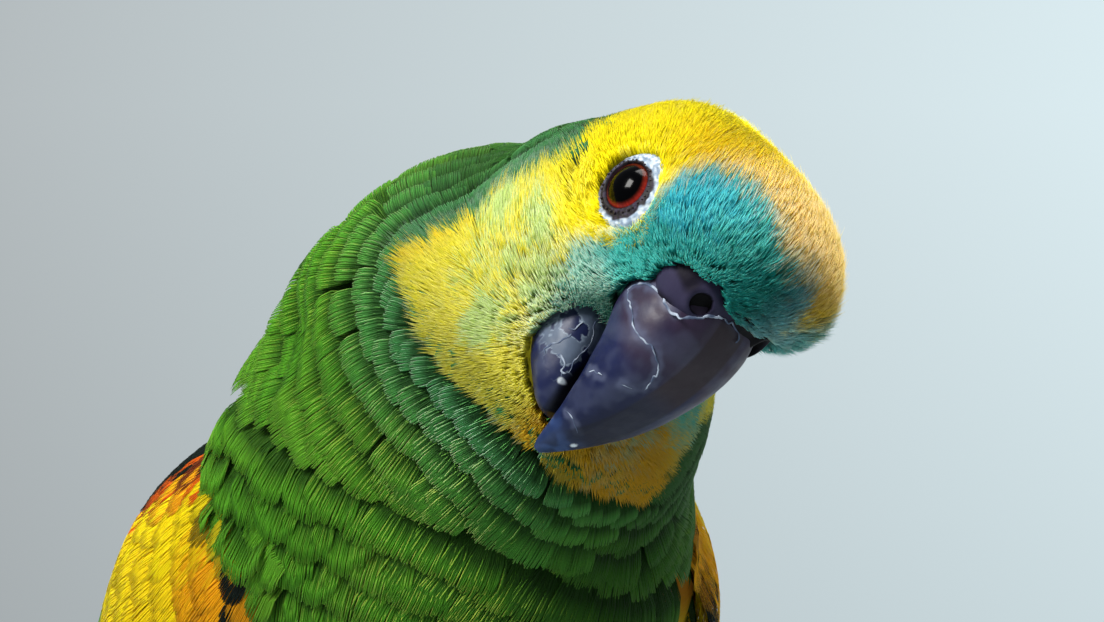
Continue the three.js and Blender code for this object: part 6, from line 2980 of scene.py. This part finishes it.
    def build_claws(self) -> bpy.types.Object:
        """The four curved claws.

        Returns:
            The claws.
        """
        points, groups, start = [], {3: [], 4: []}, 0
        for _, angle, length, radius in self.toes:
            t = np.linspace(0, 1, 26)
            out = length - 3.2 + self.claw_length * np.sin(t * 1.25)
            height = radius * 1.15 + 2.0 * np.sin(t * np.pi) - t * t * (radius * 1.15 - 0.75)
            path = self.toe_line(angle, out, height)
            rings = tube(path, mix(1.75, 0.22, t), mix(2.1, 0.3, t), np.array([0, 0, 1.0]), 20)
            made, faces = closed_tube(rings, start)
            points.append(made)
            for group in faces:
                groups[group.shape[1]].append(group)
            start += len(made)
        points = np.vstack(points)
        points[:, 2] = np.maximum(points[:, 2], 0.02)
        tone = mix(tint("15131A"), tint("3C3A42"), smooth(cloud(points, 2.2, 121), 0.4, 0.8)[:, None])
        piece = outwards(make_mesh(f"claws_{self.hand}", points,
                                   [np.vstack(groups[4]), np.vstack(groups[3])], tone))
        names = [f"claw_{self.hand}_{toe[0]}" for toe in self.toes]
        finish_piece(piece, HornFinish("claw horn", roughness=0.35, coat=0.15), Slot.CLAW, *names)
        return piece

    def build(self) -> None:
        """Makes the whole foot."""
        self.build_skin()
        self.build_scutes()
        self.build_claws()


# ---- Studio -------------------------------------------------------------------------------------


@dataclass
class Studio:
    """The camera, the floor and the lights."""

    eyes: Array
    back: tuple[float, float, float] = (-0.3726, -0.9221, 0.1045)
    across: tuple[float, float, float] = (0.9272, -0.3746, 0.0)
    up: tuple[float, float, float] = (0.0391, 0.0969, 0.9946)
    distance: float = 900.0
    lens: float = 194.8
    sensor: float = 36.0
    # How far the camera's line passes the eyes, across and down.
    aside: tuple[float, float] = (20.15, 11.7)
    floor_radius: float = 0.6
    floor_sides: int = 96
    # Each lamp's name, place, power, width and colour, and the place that all of them face.
    lamps: tuple = (("key lamp", (-0.84, -0.3, 1.05), 23.0, 0.5, (1.0, 0.985, 0.95)),
                    ("top lamp", (0.28, -0.02, 1.25), 12.0, 0.6, (1.0, 0.99, 0.97)))
    lamp_aim: tuple[float, float, float] = (0.0, -0.07, 0.13)
    # The surround's colours to the bird's right and left.
    surround: tuple = ((0.45, 0.49, 0.505, 1), (0.71, 0.84, 0.88, 1))

    def camera(self) -> None:
        """The camera, at the height of the bird's head."""
        back, across, up = (unit(np.array(v)) for v in (self.back, self.across, self.up))
        look = self.eyes - self.aside[0] * across - self.aside[1] * up
        data = bpy.data.cameras.new("camera")
        data.lens = self.lens
        data.sensor_width = self.sensor
        made = in_scene("camera", data)
        made.location = Vector((look + back * self.distance) * MM)
        made.rotation_euler = Vector(-back).to_track_quat("-Z", "Y").to_euler()
        data.clip_start, data.clip_end = 0.01, 50
        bpy.context.scene.camera = made

    def floor(self) -> None:
        """A round pale floor under the bird."""
        sides = self.floor_sides
        turn = np.linspace(0, 2 * np.pi, sides, endpoint=False)
        ring = np.stack([np.cos(turn), np.sin(turn), 0 * turn], -1) * self.floor_radius / MM
        points = np.vstack([[0, 0, 0], ring])
        s = np.arange(sides)
        faces = np.stack([0 * s, s + 1, (s + 1) % sides + 1], -1)
        piece = make_mesh("floor", points, [faces], flat=True)
        piece.data.materials.append(FloorFinish("studio floor").make())

    def light(self, name: str, place: tuple[float, float, float], power: float, size: float,
              colour: tuple[float, float, float]) -> None:
        """A large soft lamp that faces the bird's neck.

        Args:
            name: The lamp's name.
            place: Its place in metres.
            power: Its power in watts.
            size: Its width in metres.
            colour: Its colour.
        """
        data = bpy.data.lights.new(name, "AREA")
        data.energy, data.size, data.color = power, size, colour
        made = in_scene(name, data)
        made.location = Vector(place)
        aim = Vector(self.lamp_aim) - made.location
        made.rotation_euler = aim.to_track_quat("-Z", "Y").to_euler()

    def world(self) -> None:
        """A dim surround that is pale behind the bird, brighter to its left."""
        world = bpy.data.worlds.new("surround")
        bpy.context.scene.world = world
        world.use_nodes = True
        nodes, links = world.node_tree.nodes, world.node_tree.links
        place = nodes.new("ShaderNodeTexCoord").outputs["Generated"]
        parts = nodes.new("ShaderNodeSeparateXYZ")
        behind = nodes.new("ShaderNodeVectorMath")
        behind.operation = "DOT_PRODUCT"
        behind.inputs[1].default_value = [-v for v in self.back]
        links.new(place, parts.inputs[0])
        links.new(place, behind.inputs[0])
        ranges = {}
        for name, source, limits in (("side", parts.outputs["X"], (0.28, 0.46, 0.0, 1.0)),
                                     ("level", parts.outputs["Z"], (-0.16, -0.07, 0.84, 1.0)),
                                     ("back", behind.outputs["Value"], (0.4, 0.9, 0.34, 1.0))):
            node = ranges[name] = nodes.new("ShaderNodeMapRange")
            for socket, value in zip(("From Min", "From Max", "To Min", "To Max"), limits):
                node.inputs[socket].default_value = value
            links.new(source, node.inputs["Value"])
        strength = nodes.new("ShaderNodeMath")
        strength.operation = "MULTIPLY"
        links.new(ranges["level"].outputs["Result"], strength.inputs[0])
        links.new(ranges["back"].outputs["Result"], strength.inputs[1])
        blend = nodes.new("ShaderNodeMix")
        blend.data_type = "RGBA"
        colours = [item for item in blend.inputs if item.type == "RGBA"]
        colours[0].default_value, colours[1].default_value = self.surround
        links.new(ranges["side"].outputs["Result"], blend.inputs["Factor"])
        made = [item for item in blend.outputs if item.type == "RGBA"]
        links.new(made[0], nodes["Background"].inputs["Color"])
        links.new(strength.outputs[0], nodes["Background"].inputs["Strength"])

    def build(self) -> None:
        """Sets up the whole studio."""
        self.camera()
        self.floor()
        self.world()
        for lamp in self.lamps:
            self.light(*lamp)
        bpy.context.scene.view_settings.view_transform = "Standard"
        bpy.context.scene.view_settings.look = "None"


# ---- Assembly -----------------------------------------------------------------------------------


# Where the head's middle lies on the drawing, whose sizes all other masses are given in.
HEAD_AS_DRAWN = (16.0, -58.0, 176.0)
# How much less the left wing's small feathers sink behind the bend, in millimetres.
LEFT_WING_EASE = 3.2


def main() -> None:
    """Builds the bird and its studio and notes the sizes."""
    logging.basicConfig(level=logging.INFO, format="%(name)s %(message)s")
    middle = np.mean([np.array(corner) for side in ("left", "right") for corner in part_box("eye_" + side)], 0)
    head = HeadAxes.from_eyes(middle / MM)
    shift = head.origin - np.array(HEAD_AS_DRAWN)
    form = BodyForm(head, shift)
    markings = Markings(head)
    skin = Skin(form, markings)
    skin.build()
    bill = Bill(head)
    bill.build()
    cere = Cere(head)
    cere.build()
    coat = Coat(form, markings, Flow(skin.piece), [bill.upper, bill.lower, cere.piece], cere)
    coat.build()
    coat.dress()
    skin.dress()
    bill.dress()
    cere.dress()
    for side in (1, -1):
        Eye(head, side).build()
        wing = Wing(WingForm(side, shift, LEFT_WING_EASE if side > 0 else 0.0), markings.palette)
        wing.build()
        wing.dress()
        Foot(shift, side).build()
    Tail(shift, markings.palette).build()
    Studio(middle / MM).build()


if __name__ == "__main__":
    main()
